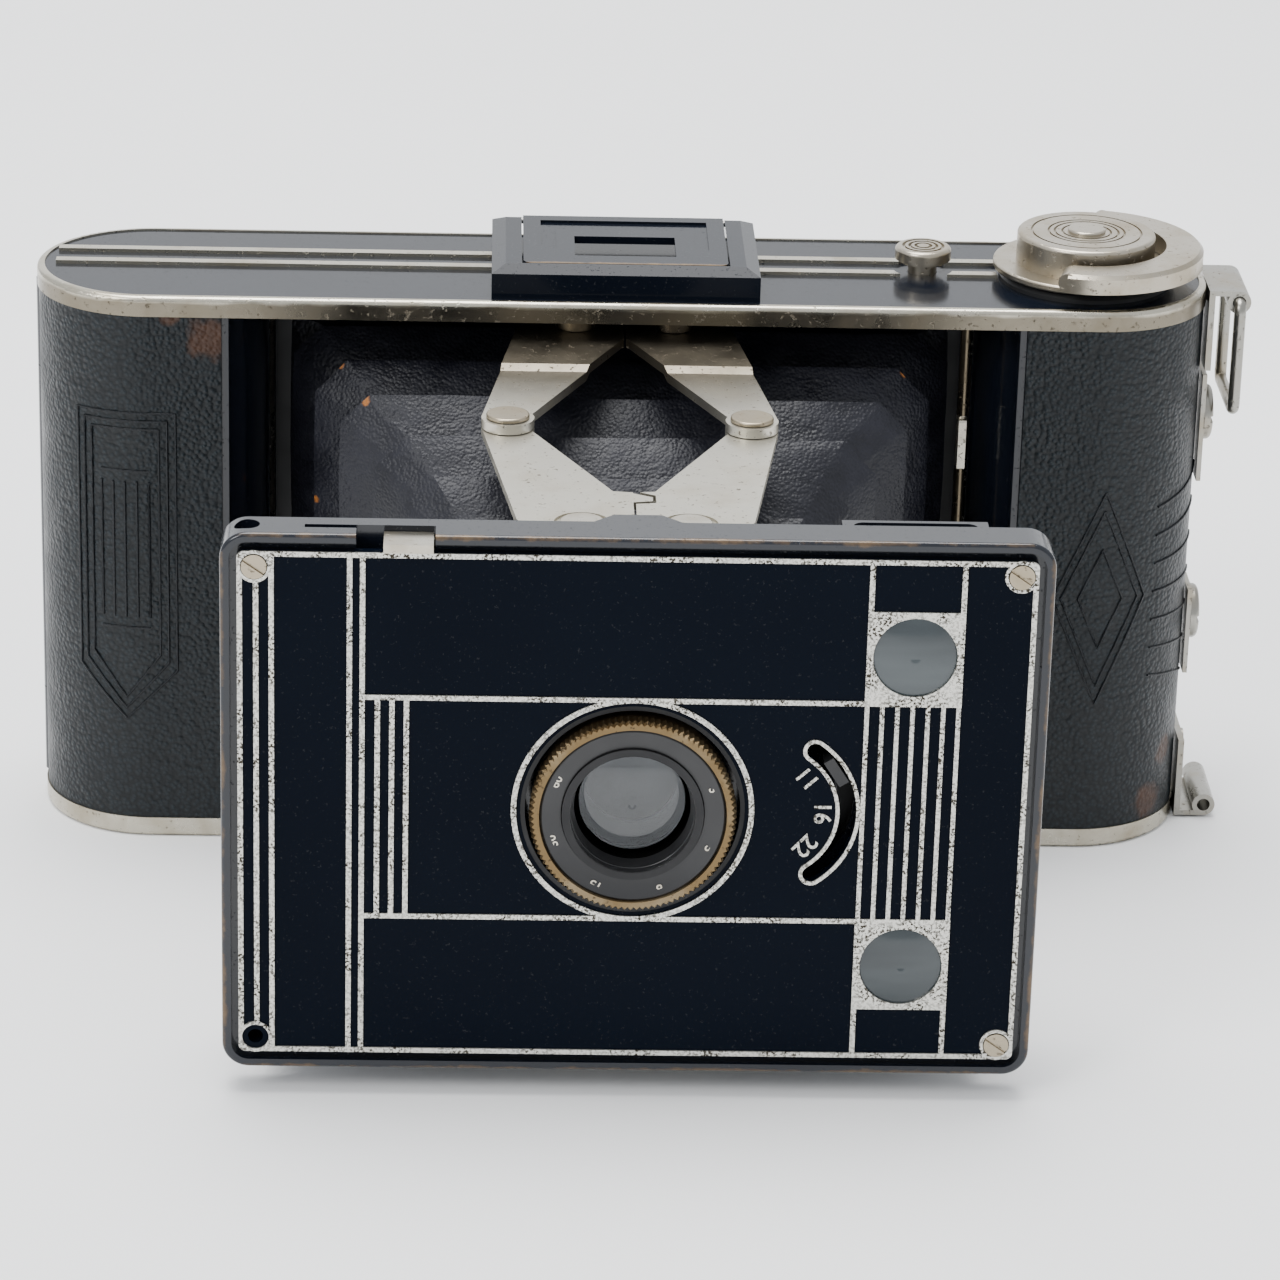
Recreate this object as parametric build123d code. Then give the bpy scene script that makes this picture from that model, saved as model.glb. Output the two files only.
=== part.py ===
"""Folding strut camera for 6 x 9 cm pictures on roll film, opened and ready to use.

Frame: millimetres, +Z up. The origin is the centre of the tripod bush,
on the surface that the camera stands on.
The lens looks along -Y, and +X is to the right of someone who faces the lens.
A flat body holds two spool chambers, and two pairs of double links carry the front standard.
Each piece is written to parts/NAME.step as its own node.
"""
from build123d import *
import math
import os

# ---------------------------------------------------------------- body
body_length = 154.0
body_depth = 30.0
body_height = 76.0
trim_height = 2.7
trim_wall = 1.0
trim_ledge = 1.5           # how far the trim's inner ledge reaches under the cover
cover_sheet = 1.2
cover_drop = 0.2           # the cover lies this much below the trim's edge
shell_sheet = 0.8
leather_sheet = 0.7
leather_inset = 0.2        # the leather lies this much inside the trim
end_radius = body_depth / 2
end_x = body_length / 2 - end_radius
opening_half_width = end_x - 10.7
mid_z = body_height / 2
trim_top_z = body_height - trim_height
cover_top_z = body_height - cover_drop
cover_low_z = cover_top_z - cover_sheet
shell_radius = end_radius - leather_inset - leather_sheet
chamber_low_z = trim_height
chamber_high_z = trim_top_z

# ---------------------------------------------------------------- fits
running = 0.05             # radial clearance of a shaft in its hole
gap = 0.1                  # axial clearance between pieces that turn on each other
free = 0.2                 # clearance between pieces that pass each other

# ---------------------------------------------------------------- film path
spool_x = end_x - 1.2
spool_flange_radius = 12.5
spool_flange_sheet = 1.2
spool_core_radius = 4.2
spool_bore_radius = 3.0
spool_length = 65.5
spool_low_z = (body_height - spool_length) / 2
spool_high_z = spool_low_z + spool_length
chamber_radius = 13.4
gate_front_y = 9.4
gate_sheet = 1.0
gate_back_y = gate_front_y + gate_sheet
picture_width = 88.0
picture_height = 56.0
roller_x = opening_half_width - 3.1
gate_half_width = roller_x - 2.0
latch_x = opening_half_width - 6.5
roller_y = 8.6
roller_radius = 1.9
roller_axle_radius = 0.75

# ---------------------------------------------------------------- struts
link_sheet = 1.0
rear_link_sheet = 1.2
pivot_x = 6.4
knee_out = 8.8             # how far the knee lies outside the pivots at full extension
strut_reach = 33.8         # from a pivot to the knee, along Y
rear_pivot_y = -8.8
knee_y = rear_pivot_y - strut_reach
front_pivot_y = knee_y - strut_reach
knee_x = pivot_x + knee_out
front_link_low_z = body_height - 8.1
front_link_high_z = front_link_low_z + link_sheet
rear_link_low_z = front_link_high_z + 0.8
rear_link_high_z = rear_link_low_z + rear_link_sheet
link_step_reach = 15.2     # the rear link steps down this far in front of its pivot
knee_link_low_z = front_link_high_z + gap
knee_radius = 3.3
pivot_pin_radius = 1.5
pivot_head_radius = 2.7
pivot_head_height = 0.5
toe_radius = pivot_x - 0.15

# ---------------------------------------------------------------- front standard
front_y = -90.0
tray_half_width = 48.6
tray_half_height = mid_z - 3.6
tray_depth = 5.5
tray_wall = 1.1
tray_corner = 3.2
tray_back_y = front_y + tray_depth
box_half_width = tray_half_width - 4.6
box_back_y = -72.6
box_wall = 1.0
box_high_z = front_link_low_z - free
box_half_height = box_high_z - mid_z
plate_half_width = tray_half_width - 2.0
plate_half_height = tray_half_height - 2.2
plate_sheet = 1.2
plate_front_y = front_y + 0.2
plate_back_y = plate_front_y + plate_sheet
line_height = 0.25
line_width = 0.62
screw_x = plate_half_width - 2.0
screw_dz = plate_half_height - 1.9
lens_hole_radius = 13.3
lens_line_radius = 14.4
finder_x = 32.6
finder_dz = 20.0
finder_radius = 4.95
finder_square = 5.7
hood_half = 8.6
hood_height = 3.9
hood_back_y = tray_back_y + 3.8
stop_pivot_x = 15.8
stop_radius = 9.7
stop_slot_width = 2.0
stop_slot_half_angle = 55.0
stop_step = 33.0
shutter_plate_y = -80.0
shutter_plate_sheet = 1.0
release_pivot = (-28.2, mid_z + 6.0)
release_tab_x = -26.7
release_tab_width = 5.8
release_travel = 3.0
release_lever_y = -87.6
release_lever_sheet = 0.8
cable_socket = (-tray_half_width + 3.1, front_y + 3.1)
cable_socket_radius = 1.5
cable_socket_depth = 3.0
barrel_radius = 8.4
barrel_bore = 7.5
lens_seat_radius = 6.2
lens_seat_y = -86.4
disc_centre = (-14.0, mid_z)

# ---------------------------------------------------------------- top fittings
rib_rear_y = 5.0
rib_front_y = -0.2
rib_width = 1.5
rib_height = 0.45
finder_base_half = 17.4
finder_base_front_y = -12.6
finder_base_back_y = 11.0
finder_base_top_z = body_height + 4.0
flap_half = 13.3
flap_sheet = 1.0
flap_hinge_y = 10.0
front_frame_hinge_y = -9.3
front_frame_length = 8.6
button_x = 39.5
button_y = 1.6
button_radius = 3.7
button_travel = 1.3
key_escutcheon_radius = 11.3
key_flange_radius = 12.1
key_hub_radius = 9.1
key_flange_low_z = body_height + 1.2
key_flange_high_z = key_flange_low_z + 1.0
key_hub_high_z = key_flange_high_z + 4.0
key_shaft_radius = 3.0
handle_inner = 10.6
handle_outer = 14.9
handle_sheet = 2.5
handle_pin_radius = 0.55
handle_turn = -15.0        # rest angle of the folding handle about the key's axis

bush_radius = 4.7
bush_core_radius = 2.6     # a quarter-inch thread's core

# ---------------------------------------------------------------- door and end fittings
hinge_x = -(body_length / 2 - 1.0)
hinge_y = 1.5
hinge_radius = 1.3
hinge_pin_radius = 0.6
door_low_z = trim_height + free
door_high_z = trim_top_z - free
window_z = mid_z - 24.0
window_radius = 4.2
lug_eye_x = body_length / 2 + 4.0
lug_eye_radius = 1.55
lug_front_y = -4.4
lug_back_y = 6.9
lug_eye_z = body_height - 1.9
loop_wire_radius = 0.8
lug_eye_bore = loop_wire_radius + 0.08
loop_drop = 14.6

os.makedirs("parts", exist_ok=True)


def write(name, *solids):
    """Writes the solids as one node."""
    found = [s for item in solids for s in item.solids()]
    export_step(Compound(children=found) if len(found) > 1 else found[0], f"parts/{name}.step")


def upright(sketch, low_z, high_z):
    """A plan outline raised from low_z to high_z."""
    return extrude(Pos(0, 0, low_z) * sketch, amount=high_z - low_z)


def facing(sketch, near_y, far_y):
    """An outline drawn in X and Z, from near_y back to far_y."""
    return extrude(Plane.XZ.offset(-far_y) * sketch, amount=far_y - near_y)


def post(x, y, low_z, high_z, radius):
    """A round post along Z."""
    return upright(Pos(x, y) * Circle(radius), low_z, high_z)


def boss(x, z, near_y, far_y, radius):
    """A round boss along Y."""
    return facing(Pos(x, z) * Circle(radius), near_y, far_y)


def block(x0, x1, y0, y1, z0, z1):
    """A box between six planes."""
    size = (x1 - x0, y1 - y0, z1 - z0)
    return Pos((x0 + x1) / 2, (y0 + y1) / 2, (z0 + z1) / 2) * Box(*size)


def polygon(*points):
    """A filled outline through the points."""
    return make_face(Polyline(*points, close=True))


def sector(radius, start, end):
    """A pie slice, in degrees anticlockwise from +X, for cutting rings."""
    steps = max(2, math.ceil((end - start) / 60) + 1)
    angles = [math.radians(start + (end - start) * i / (steps - 1)) for i in range(steps)]
    reach = radius / math.cos(math.radians((end - start) / (steps - 1) / 2))
    return polygon((0, 0), *[(reach * math.cos(a), reach * math.sin(a)) for a in angles])


def flip_z(shape):
    """The same piece at the other end of the body's height."""
    return mirror(shape, about=Plane.XY.offset(mid_z))


def flip_x(shape):
    """The same piece on the other side."""
    return mirror(shape, about=Plane.YZ)


def stadium(inset=0.0):
    """The body's outline in plan, inset all round."""
    return SlotOverall(body_length - 2 * inset, body_depth - 2 * inset)


# ================================================================ body shell
def rounded_trim():
    """The rim with its outer edge rounded over."""
    outer = upright(stadium(), trim_top_z, body_height)
    top = outer.faces().sort_by(Axis.Z)[-1]
    outer = fillet(top.edges(), 0.7)
    band = outer - upright(stadium(trim_wall), trim_top_z, body_height)
    ledge = upright(stadium(trim_wall) - stadium(trim_wall + trim_ledge), trim_top_z, cover_low_z)
    return band + ledge


def cover(holes):
    """Flat enamelled plate that closes the body, with round holes at (x, y, radius)."""
    sketch = stadium(trim_wall)
    for x, y, radius in holes:
        sketch -= Pos(x, y) * Circle(radius)
    return upright(sketch, cover_low_z, cover_top_z)


def cover_ribs():
    """Two raised nickel ribs along the cover, stopped by the button, the finder and the key."""
    half = body_length / 2 - trim_wall - 1.5
    ribs = []
    for y in (rib_rear_y, rib_front_y):
        low_y, high_y = y - rib_width / 2, y + rib_width / 2
        rib = block(-half, spool_x, low_y, high_y, cover_top_z, cover_top_z + rib_height)
        rib -= post(spool_x, 0, cover_top_z, body_height + 1, key_escutcheon_radius + 0.3)
        rib -= block(-finder_base_half, finder_base_half, low_y, high_y, cover_top_z, body_height + 1)
        rib -= post(button_x, button_y, cover_top_z, body_height + 1, button_radius + 0.3)
        ribs.append(rib)
    return ribs


def strut_plate():
    """Roof of the recess, which carries the rear pivots and guides the button."""
    depth = body_depth / 2 - trim_wall - trim_ledge - gap
    plate = block(-opening_half_width, opening_half_width, -depth, depth, trim_top_z, cover_low_z)
    return plate


def spool_housing():
    """Left end of the body: the outer wall round the front, and the chamber's inner wall."""
    edge = -opening_half_width
    outer = stadium(end_radius - shell_radius) - stadium(end_radius - shell_radius + shell_sheet)
    keep = Pos((edge - body_length) / 2, -body_depth / 2) * Rectangle(body_length + edge, body_depth - 2 * free)
    front = outer & keep
    lip_back = -math.sqrt(chamber_radius**2 - (spool_x + edge) ** 2)
    lip_middle = (lip_back - shell_radius) / 2
    lip = Pos(edge - shell_sheet / 2, lip_middle) * Rectangle(shell_sheet, shell_radius + lip_back)
    ring = Circle(chamber_radius + shell_sheet) - Circle(chamber_radius)
    start = -math.degrees(math.acos((spool_x + edge) / (chamber_radius + shell_sheet)))
    inner = Pos(-spool_x, 0) * (ring & sector(chamber_radius + 2, start, 22))
    walls = upright(front + lip + inner, chamber_low_z, chamber_high_z)
    return walls


def leather_panel():
    """Leather over the left end, from the recess round to the middle of the end."""
    outer = stadium(leather_inset) - stadium(leather_inset + leather_sheet)
    edge = -opening_half_width - shell_sheet - 0.1
    keep = Pos((edge - body_length) / 2, -body_depth / 2) * Rectangle(body_length + edge, body_depth - 2 * free)
    return upright(outer & keep, chamber_low_z, chamber_high_z)


def knuckle(low_z, high_z):
    """One knuckle of the door's hinge."""
    ring = Circle(hinge_radius) - Circle(hinge_pin_radius + running)
    return upright(Pos(hinge_x, hinge_y) * ring, low_z, high_z)


hinge_split = (15.0, body_height - 15.0)


def body_knuckles():
    """The two outer knuckles, with the leaf that joins them to the left housing."""
    pieces = []
    for low_z, high_z in ((door_low_z, hinge_split[0] - gap), (hinge_split[1] + gap, door_high_z)):
        leaf = block(hinge_x - 0.6, hinge_x + 0.5, -1.4, hinge_y - 0.3, low_z, high_z)
        leaf -= post(hinge_x, hinge_y, low_z, high_z, hinge_pin_radius + running)
        leaf -= upright(stadium(leather_inset) - stadium(end_radius - shell_radius), low_z, high_z) & block(
            -body_length, 0, -body_depth, -free, low_z, high_z)
        pieces.append(knuckle(low_z, high_z) + leaf)
    return pieces


def latch_rod():
    """Upright rod of the strut catch, between the strut plates, with the flat tab that the catch pulls on."""
    x, y, radius = latch_x, -8.0, 0.7
    tab = block(x - 0.5, x + 0.5, y - radius - 0.9, y, mid_z + 14.0, mid_z + 21.0)
    return post(x, y, trim_height, trim_top_z, radius) + fillet(tab.edges().filter_by(Axis.X), 0.4)


def film_gate():
    """Plate with the picture window, and the axles of the two film rollers."""
    half_height = mid_z - trim_height
    tab = 4.0
    sketch = Pos(0, mid_z) * Rectangle(2 * gate_half_width, 2 * half_height)
    for z in (trim_height + tab / 2, trim_top_z - tab / 2):
        sketch += Pos(0, z) * Rectangle(2 * (roller_x + 2), tab)
    sketch -= Pos(0, mid_z) * Rectangle(picture_width, picture_height)
    gate = facing(sketch, gate_front_y, gate_back_y)
    for x in (-roller_x, roller_x):
        for low_z in (trim_height, trim_top_z - tab + 0.4):
            ear = block(x - 1.6, x + 1.6, roller_y - 1.6, gate_front_y, low_z, low_z + tab - 0.4)
            gate += ear
        gate += post(x, roller_y, trim_height, trim_top_z, roller_axle_radius)
    return gate


def film_roller():
    """Guide roller on the gate's left axle."""
    low_z = trim_height + 4.0 + gap
    body = post(-roller_x, roller_y, low_z, body_height - low_z, roller_radius)
    body -= post(-roller_x, roller_y, low_z, body_height - low_z, roller_axle_radius + running)
    return body


def spool(x):
    """Roll-film spool: two flanges on a core that is bored at both ends."""
    bore_depth = 6.0
    solid = post(x, 0, spool_low_z, spool_high_z, spool_core_radius)
    for low_z in (spool_low_z, spool_high_z - spool_flange_sheet):
        solid += post(x, 0, low_z, low_z + spool_flange_sheet, spool_flange_radius)
    solid -= post(x, 0, spool_low_z, spool_low_z + bore_depth, spool_bore_radius)
    solid -= post(x, 0, spool_high_z - bore_depth, spool_high_z, spool_bore_radius)
    film_slot = block(x - 0.6, x + 0.6, -spool_core_radius, spool_core_radius, mid_z - 28, mid_z + 28)
    return solid - film_slot


def spool_pin(x, low_z, shoulder_z, high_z):
    """Bearing pin on a shoulder, standing on the cover."""
    pin_radius = spool_bore_radius - running
    return post(x, 0, low_z, shoulder_z, 5.0) + post(x, 0, shoulder_z, high_z, pin_radius)


def tripod_bush():
    """Threaded bush in the base, bored at its thread's core diameter."""
    top_z = body_height - rear_link_high_z - free - gap
    return post(0, 0, 0, top_z, bush_radius) - post(0, 0, 0, top_z, bush_core_radius)


def bellows():
    """Plain tapered tube that stands for the pleated leather bellows."""
    wall = 1.5
    rear = (picture_width / 2 + 1.2, picture_height / 2 + 1.0)
    front = (23.0, 20.0)
    rear_y, near_y = gate_front_y, box_back_y

    def frustum(inset, extra):
        faces = [
            Plane.XZ.offset(-y) * (Pos(0, mid_z) * Rectangle(2 * (half[0] - inset), 2 * (half[1] - inset)))
            for y, half in ((rear_y + extra, rear), (near_y - extra, front))
        ]
        return loft(faces)

    return frustum(0, 0) - frustum(wall, 0.01)


# ================================================================ struts
def pair(piece):
    """The upper piece and its twin at the bottom of the camera."""
    return [piece, flip_z(piece)]


def link_outline(pivot_y, toward, toe_reach, toe_flat):
    """Left link in plan: a broad foot round its pivot, tapering to the knee, which lies at +Y if toward is +1."""
    rise = (knee_y - pivot_y) * toward
    waist = (
        (-knee_out - knee_radius, rise),
        (-toe_radius - 1.5, 1.5),
        (-0.75 * toe_radius, -0.58 * toe_radius),
        (0, 0),
        (toe_radius, 0),
        (toe_radius, toe_reach),
        (toe_radius - toe_flat, toe_reach + 0.3),
        (-knee_out + 0.92 * knee_radius, rise - 0.4 * knee_radius),
    )
    plate = polygon(*[(x - pivot_x, pivot_y + y * toward) for x, y in waist])
    return plate + Pos(-pivot_x, pivot_y) * Circle(toe_radius) + Pos(-knee_x, knee_y) * Circle(knee_radius)


def front_link(nose):
    """Left front link. The two toes meet on the centre line: one has a nose, the other a notch."""
    y = front_pivot_y
    outline = link_outline(y, 1, 11.2, 2.4)
    if nose:
        outline += polygon((-0.2, y + 7.8), (2.2, y + 8.3), (2.2, y + 9.6), (-0.2, y + 10.9))
    else:
        outline -= polygon((-2.6, y + 7.7), (0.2, y + 7.2), (0.2, y + 11.8), (-2.6, y + 10.2))
    link = upright(outline, front_link_low_z, front_link_high_z)
    rim = Circle(4.0) - Circle(3.4)
    link += upright(Pos(-pivot_x, y) * rim, front_link_high_z, front_link_high_z + 0.3)
    link -= post(-pivot_x, y, front_link_low_z, front_link_high_z, pivot_pin_radius + running)
    return link - post(-knee_x, knee_y, front_link_low_z, front_link_high_z, pivot_pin_radius)


def rear_link():
    """Left rear link, which turns on the body and steps down to lie on the front link at the knee."""
    low_z, high_z = knee_link_low_z, rear_link_low_z
    knee_end, step_y, rear_end = knee_y - 10, rear_pivot_y - link_step_reach, rear_pivot_y + 10
    lower = [(knee_end, low_z), (step_y - 1.0, low_z), (step_y, high_z), (rear_end, high_z)]
    upper = [(y, z + rear_link_sheet) for y, z in reversed(lower)]
    profile = extrude(Plane.YZ.offset(-knee_x - 10) * polygon(*lower, *upper), amount=knee_x + 10)
    link = profile & upright(link_outline(rear_pivot_y, -1, 4.9, 0.3), low_z, rear_link_high_z)
    for x, y in ((-pivot_x, rear_pivot_y), (-knee_x, knee_y)):
        link -= post(x, y, low_z, rear_link_high_z, pivot_pin_radius + running)
    return link


def knee_rivet():
    """Rivet of the left knee, fixed in the front link, with a broad head over the rear link."""
    head_z = knee_link_low_z + rear_link_sheet + gap
    rivet = post(-knee_x, knee_y, front_link_low_z, head_z, pivot_pin_radius)
    head = post(-knee_x, knee_y, head_z, head_z + pivot_head_height, pivot_head_radius)
    return rivet + fillet(head.faces().sort_by(Axis.Z)[-1].edges(), 0.3)


def body_pivot():
    """Left rear pivot: a stud with a shoulder, riveted under the strut plate."""
    stud = post(-pivot_x, rear_pivot_y, rear_link_low_z, trim_top_z, pivot_pin_radius)
    return stud + post(-pivot_x, rear_pivot_y, rear_link_high_z + gap, trim_top_z, 2.6)


def standard_pivot():
    """Left front pivot: a headed rivet that stands on the standard's box."""
    head_z = front_link_high_z + gap
    rivet = post(-pivot_x, front_pivot_y, box_high_z, head_z, pivot_pin_radius)
    head = post(-pivot_x, front_pivot_y, head_z, head_z + pivot_head_height, pivot_head_radius)
    return rivet + fillet(head.faces().sort_by(Axis.Z)[-1].edges(), 0.3)


# ================================================================ front standard
def rounded_frame(half_width, half_height, corner):
    """A rounded rectangle about the lens axis, in X and Z."""
    return Pos(0, mid_z) * RectangleRounded(2 * half_width, 2 * half_height, corner)


def front_tray():
    """Pressed front housing: its rim frames the face plate, and its rear wall carries the lens."""
    wall_y = tray_back_y - tray_wall
    top_z = mid_z + tray_half_height
    tray = facing(rounded_frame(tray_half_width, tray_half_height, tray_corner), front_y, tray_back_y)
    tray = fillet(tray.faces().sort_by(Axis.Y)[0].edges(), 0.5)
    pocket = rounded_frame(tray_half_width - tray_wall, tray_half_height - tray_wall, tray_corner - tray_wall)
    tray -= facing(pocket, front_y, plate_back_y)
    ledge = rounded_frame(box_half_width - 1.5, box_half_height - 0.7, 2.0)
    tray -= facing(ledge, plate_back_y, wall_y)
    tray -= boss(0, mid_z, wall_y, tray_back_y, lens_seat_radius)
    for dz in (finder_dz, -finder_dz):
        tray -= facing(Pos(finder_x, mid_z + dz) * Rectangle(11, 11), wall_y, tray_back_y)
    tray -= facing(stop_slot(), wall_y, tray_back_y)
    for x, z in screw_places():
        tray -= boss(x, z, plate_back_y, wall_y, 0.9 + running)
    tray += boss(*release_pivot, release_lever_y, wall_y, 1.2)
    tray += boss(*release_pivot, release_lever_y + release_lever_sheet + gap, wall_y, 2.2)
    x0 = release_tab_x - release_tab_width / 2 - release_travel - free
    x1 = release_tab_x + release_tab_width / 2 + free
    arm_back = release_lever_y + release_lever_sheet + gap
    tray -= block(x0, x1, front_y, arm_back, mid_z + box_half_height - 1, top_z)
    slot_low_z = mid_z + box_half_height - 1
    tray -= block(x0, x1 + 1.5, release_lever_y - 0.1, arm_back, slot_low_z, mid_z + plate_half_height)
    tray -= block(x0 - 6, x0, release_lever_y - 0.1, arm_back, top_z - tray_wall, top_z)
    tip_y = tray_back_y + 2.4
    tongue = polygon((-5.2, tray_back_y), (5.2, tray_back_y), (2.8, tip_y), (-2.8, tip_y))
    tray += upright(tongue, top_z - 0.9, top_z)
    return tray - post(*cable_socket, top_z - cable_socket_depth, top_z, cable_socket_radius)


def hood_slot():
    """Outline of the upper finder's viewing glass."""
    return Pos(finder_x, (tray_back_y + hood_back_y) / 2) * SlotOverall(2 * hood_half - 2.6, 2.4)


def mechanism_box():
    """Shallow box behind the tray: it holds the shutter and the finders and carries the pivots."""
    outer = rounded_frame(box_half_width, box_half_height, 2.0)
    inner = rounded_frame(box_half_width - box_wall, box_half_height - box_wall, 1.0)
    box = facing(outer, tray_back_y, box_back_y) - facing(inner, tray_back_y, box_back_y - box_wall)
    box -= boss(0, mid_z, box_back_y - box_wall, box_back_y, 12.0)
    hood_top = box_high_z + hood_height
    box += block(finder_x - hood_half, finder_x + hood_half, tray_back_y, hood_back_y, box_high_z - 1, hood_top)
    box -= upright(hood_slot(), box_high_z - 1, hood_top)
    side = Plane.YZ.offset(box_half_width - box_wall) * (Pos(-77, mid_z - finder_dz) * Rectangle(6, 10))
    return box - extrude(side, amount=box_wall)


def stop_slot():
    """Arc slot of the aperture pointer, about the aperture plate's pivot."""
    mid = (stop_pivot_x + stop_radius, mid_z)
    angle = math.radians(stop_slot_half_angle)
    end_dx, end_dz = stop_radius * math.cos(angle), stop_radius * math.sin(angle)
    ends = [(stop_pivot_x + end_dx, mid_z + s * end_dz) for s in (1, -1)]
    return SlotArc(ThreePointArc(ends[0], mid, ends[1]), stop_slot_width)


def face_plate():
    """Enamelled front plate, with holes for the lens, the finders, the pointer and four screws."""
    sketch = rounded_frame(plate_half_width, plate_half_height, 0.8)
    sketch -= Pos(0, mid_z) * Circle(lens_hole_radius)
    for dz in (finder_dz, -finder_dz):
        sketch -= Pos(finder_x, mid_z + dz) * Circle(finder_radius)
    sketch -= stop_slot()
    for x, z in screw_places():
        sketch -= Pos(x, z) * Circle(0.9)
    return facing(sketch, plate_front_y, plate_back_y)


def screw_places():
    """The plate's four screw holes. The last one, at the lower left, holds no screw."""
    return [(s * screw_x, mid_z + t * screw_dz) for s, t in ((-1, 1), (1, 1), (1, -1), (-1, -1))]


def upright_line(x, low_dz, high_dz, width=line_width):
    """A raised line on the face plate, along Z."""
    return Pos(x, mid_z + (low_dz + high_dz) / 2) * Rectangle(width, high_dz - low_dz)


def face_lines():
    """The plate's raised nickel lines: border, stripes, lens circle, comb and finder squares."""
    top = plate_half_height
    band = lens_line_radius - line_width / 2
    sketch = rounded_frame(plate_half_width, plate_half_height, 0.8)
    sketch -= rounded_frame(plate_half_width - line_width, plate_half_height - line_width, 0.4)
    for x in (-44.4, -42.6, -33.5, -32.0):
        sketch += upright_line(x, -top, top)
    for x in (-30.2, -28.5, -26.8):
        sketch += upright_line(x, -band, band)
    left, right = -32.0, finder_x + finder_square
    for dz in (band, -band):
        sketch += Pos((left + right) / 2, mid_z + dz) * Rectangle(right - left, line_width)
    comb_pitch = 2 * (finder_square - line_width / 2) / 6
    for i in range(7):
        sketch += upright_line(finder_x + (i - 3) * comb_pitch, -band, band, line_width * 0.85)
    for dz in (finder_dz, -finder_dz):
        sketch += Pos(finder_x, mid_z + dz) * Rectangle(2 * finder_square, 2 * finder_square)
        for side in (-1, 1):
            x = finder_x + side * (finder_square - line_width / 2)
            sketch += upright_line(x, min(dz, math.copysign(top, dz)), max(dz, math.copysign(top, dz)))
    sketch += Pos(0, mid_z) * Circle(lens_line_radius)
    sketch -= Pos(0, mid_z) * Circle(lens_line_radius - line_width)
    for x, z in screw_places():
        sketch += Pos(x, z) * Circle(2.0)
        sketch -= Pos(x, z) * Circle(1.6)
    for dz in (finder_dz, -finder_dz):
        sketch -= Pos(finder_x, mid_z + dz) * Circle(finder_radius)
    slot_mid = (stop_pivot_x + stop_radius, mid_z)
    angle = math.radians(stop_slot_half_angle)
    end_dx, end_dz = stop_radius * math.cos(angle), stop_radius * math.sin(angle)
    ends = [(stop_pivot_x + end_dx, mid_z + s * end_dz) for s in (1, -1)]
    border = SlotArc(ThreePointArc(ends[0], slot_mid, ends[1]), stop_slot_width + 0.9) - stop_slot()
    return facing(sketch + border, plate_front_y - line_height, plate_front_y)


def face_screw(x, z):
    """Slotted countersunk screw of the face plate."""
    head = boss(x, z, plate_front_y - 0.4, plate_front_y, 1.5)
    head -= block(x - 2, x + 2, plate_front_y - 0.4, plate_front_y - 0.1, z - 0.2, z + 0.2)
    head = Pos(x, 0, z) * (Rot(0, 35, 0) * (Pos(-x, 0, -z) * head))
    return head + boss(x, z, plate_front_y, tray_back_y - tray_wall, 0.9)


def lens_barrel():
    """Blackened barrel of the lens, fixed on the tray's rear wall."""
    back = tray_back_y - tray_wall
    tube = boss(0, mid_z, front_y - 1.3, back, barrel_radius)
    tube -= boss(0, mid_z, front_y - 1.3, lens_seat_y, barrel_bore)
    return tube - boss(0, mid_z, lens_seat_y, back, lens_seat_radius)


def domed_glass(x, z, tip_y, rise, back_y, radius):
    """A round glass about Y, whose front face rises by the given height in the middle."""
    sphere_radius = (radius**2 + rise**2) / (2 * rise)
    half = radius / 2
    sag = sphere_radius - math.sqrt(sphere_radius**2 - half**2)
    front = ThreePointArc((0, tip_y), (half, tip_y + sag), (radius, tip_y + rise))
    rest = Polyline((radius, tip_y + rise), (radius, back_y), (0, back_y), (0, tip_y))
    return Pos(x, 0, z) * revolve(make_face([front, rest]), Axis.Y)


def front_lens():
    """Front element, domed towards the subject."""
    return domed_glass(0, mid_z, lens_seat_y - 2.0, 1.2, lens_seat_y, barrel_bore - 0.02)


def rear_lens():
    """Rear element in its mount behind the shutter."""
    return boss(0, mid_z, shutter_plate_y + 4.0, shutter_plate_y + 6.0, 6.5)


def rear_mount():
    """Mount of the rear element, on the box's rear wall."""
    mount = boss(0, mid_z, shutter_plate_y + 3.2, box_back_y - box_wall, 13.5)
    mount -= boss(0, mid_z, shutter_plate_y + 4.0, shutter_plate_y + 6.0, 6.5)
    mount -= boss(0, mid_z, shutter_plate_y + 3.2, box_back_y - box_wall, 5.8)
    return mount


def focus_ring():
    """Knurled ring that turns on the barrel and stands proud of the plate."""
    ring_front, ring_back = front_y - 2.0, front_y + 2.4
    ring = boss(0, mid_z, ring_front, ring_back, 12.0)
    ring += boss(0, mid_z, ring_front + 0.3, ring_front + 1.9, 12.3)
    ring -= boss(0, mid_z, ring_front, ring_back, barrel_radius + running)
    return ring


def shutter_plate():
    """Plate behind the lens, with the pins of the aperture plate and the shutter disc."""
    back = shutter_plate_y + shutter_plate_sheet
    sketch = rounded_frame(box_half_width - box_wall, box_half_height - box_wall, 1.0)
    sketch -= Pos(0, mid_z) * Circle(5.4)
    for dz in (finder_dz, -finder_dz):
        sketch -= Pos(finder_x, mid_z + dz) * Rectangle(12.5, 12.5)
    plate = facing(sketch, shutter_plate_y, back)
    plate += boss(stop_pivot_x, mid_z, shutter_plate_y - 1.4, shutter_plate_y, 1.2)
    plate += boss(*disc_centre, back, back + 1.2, 1.2)
    return plate


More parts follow.
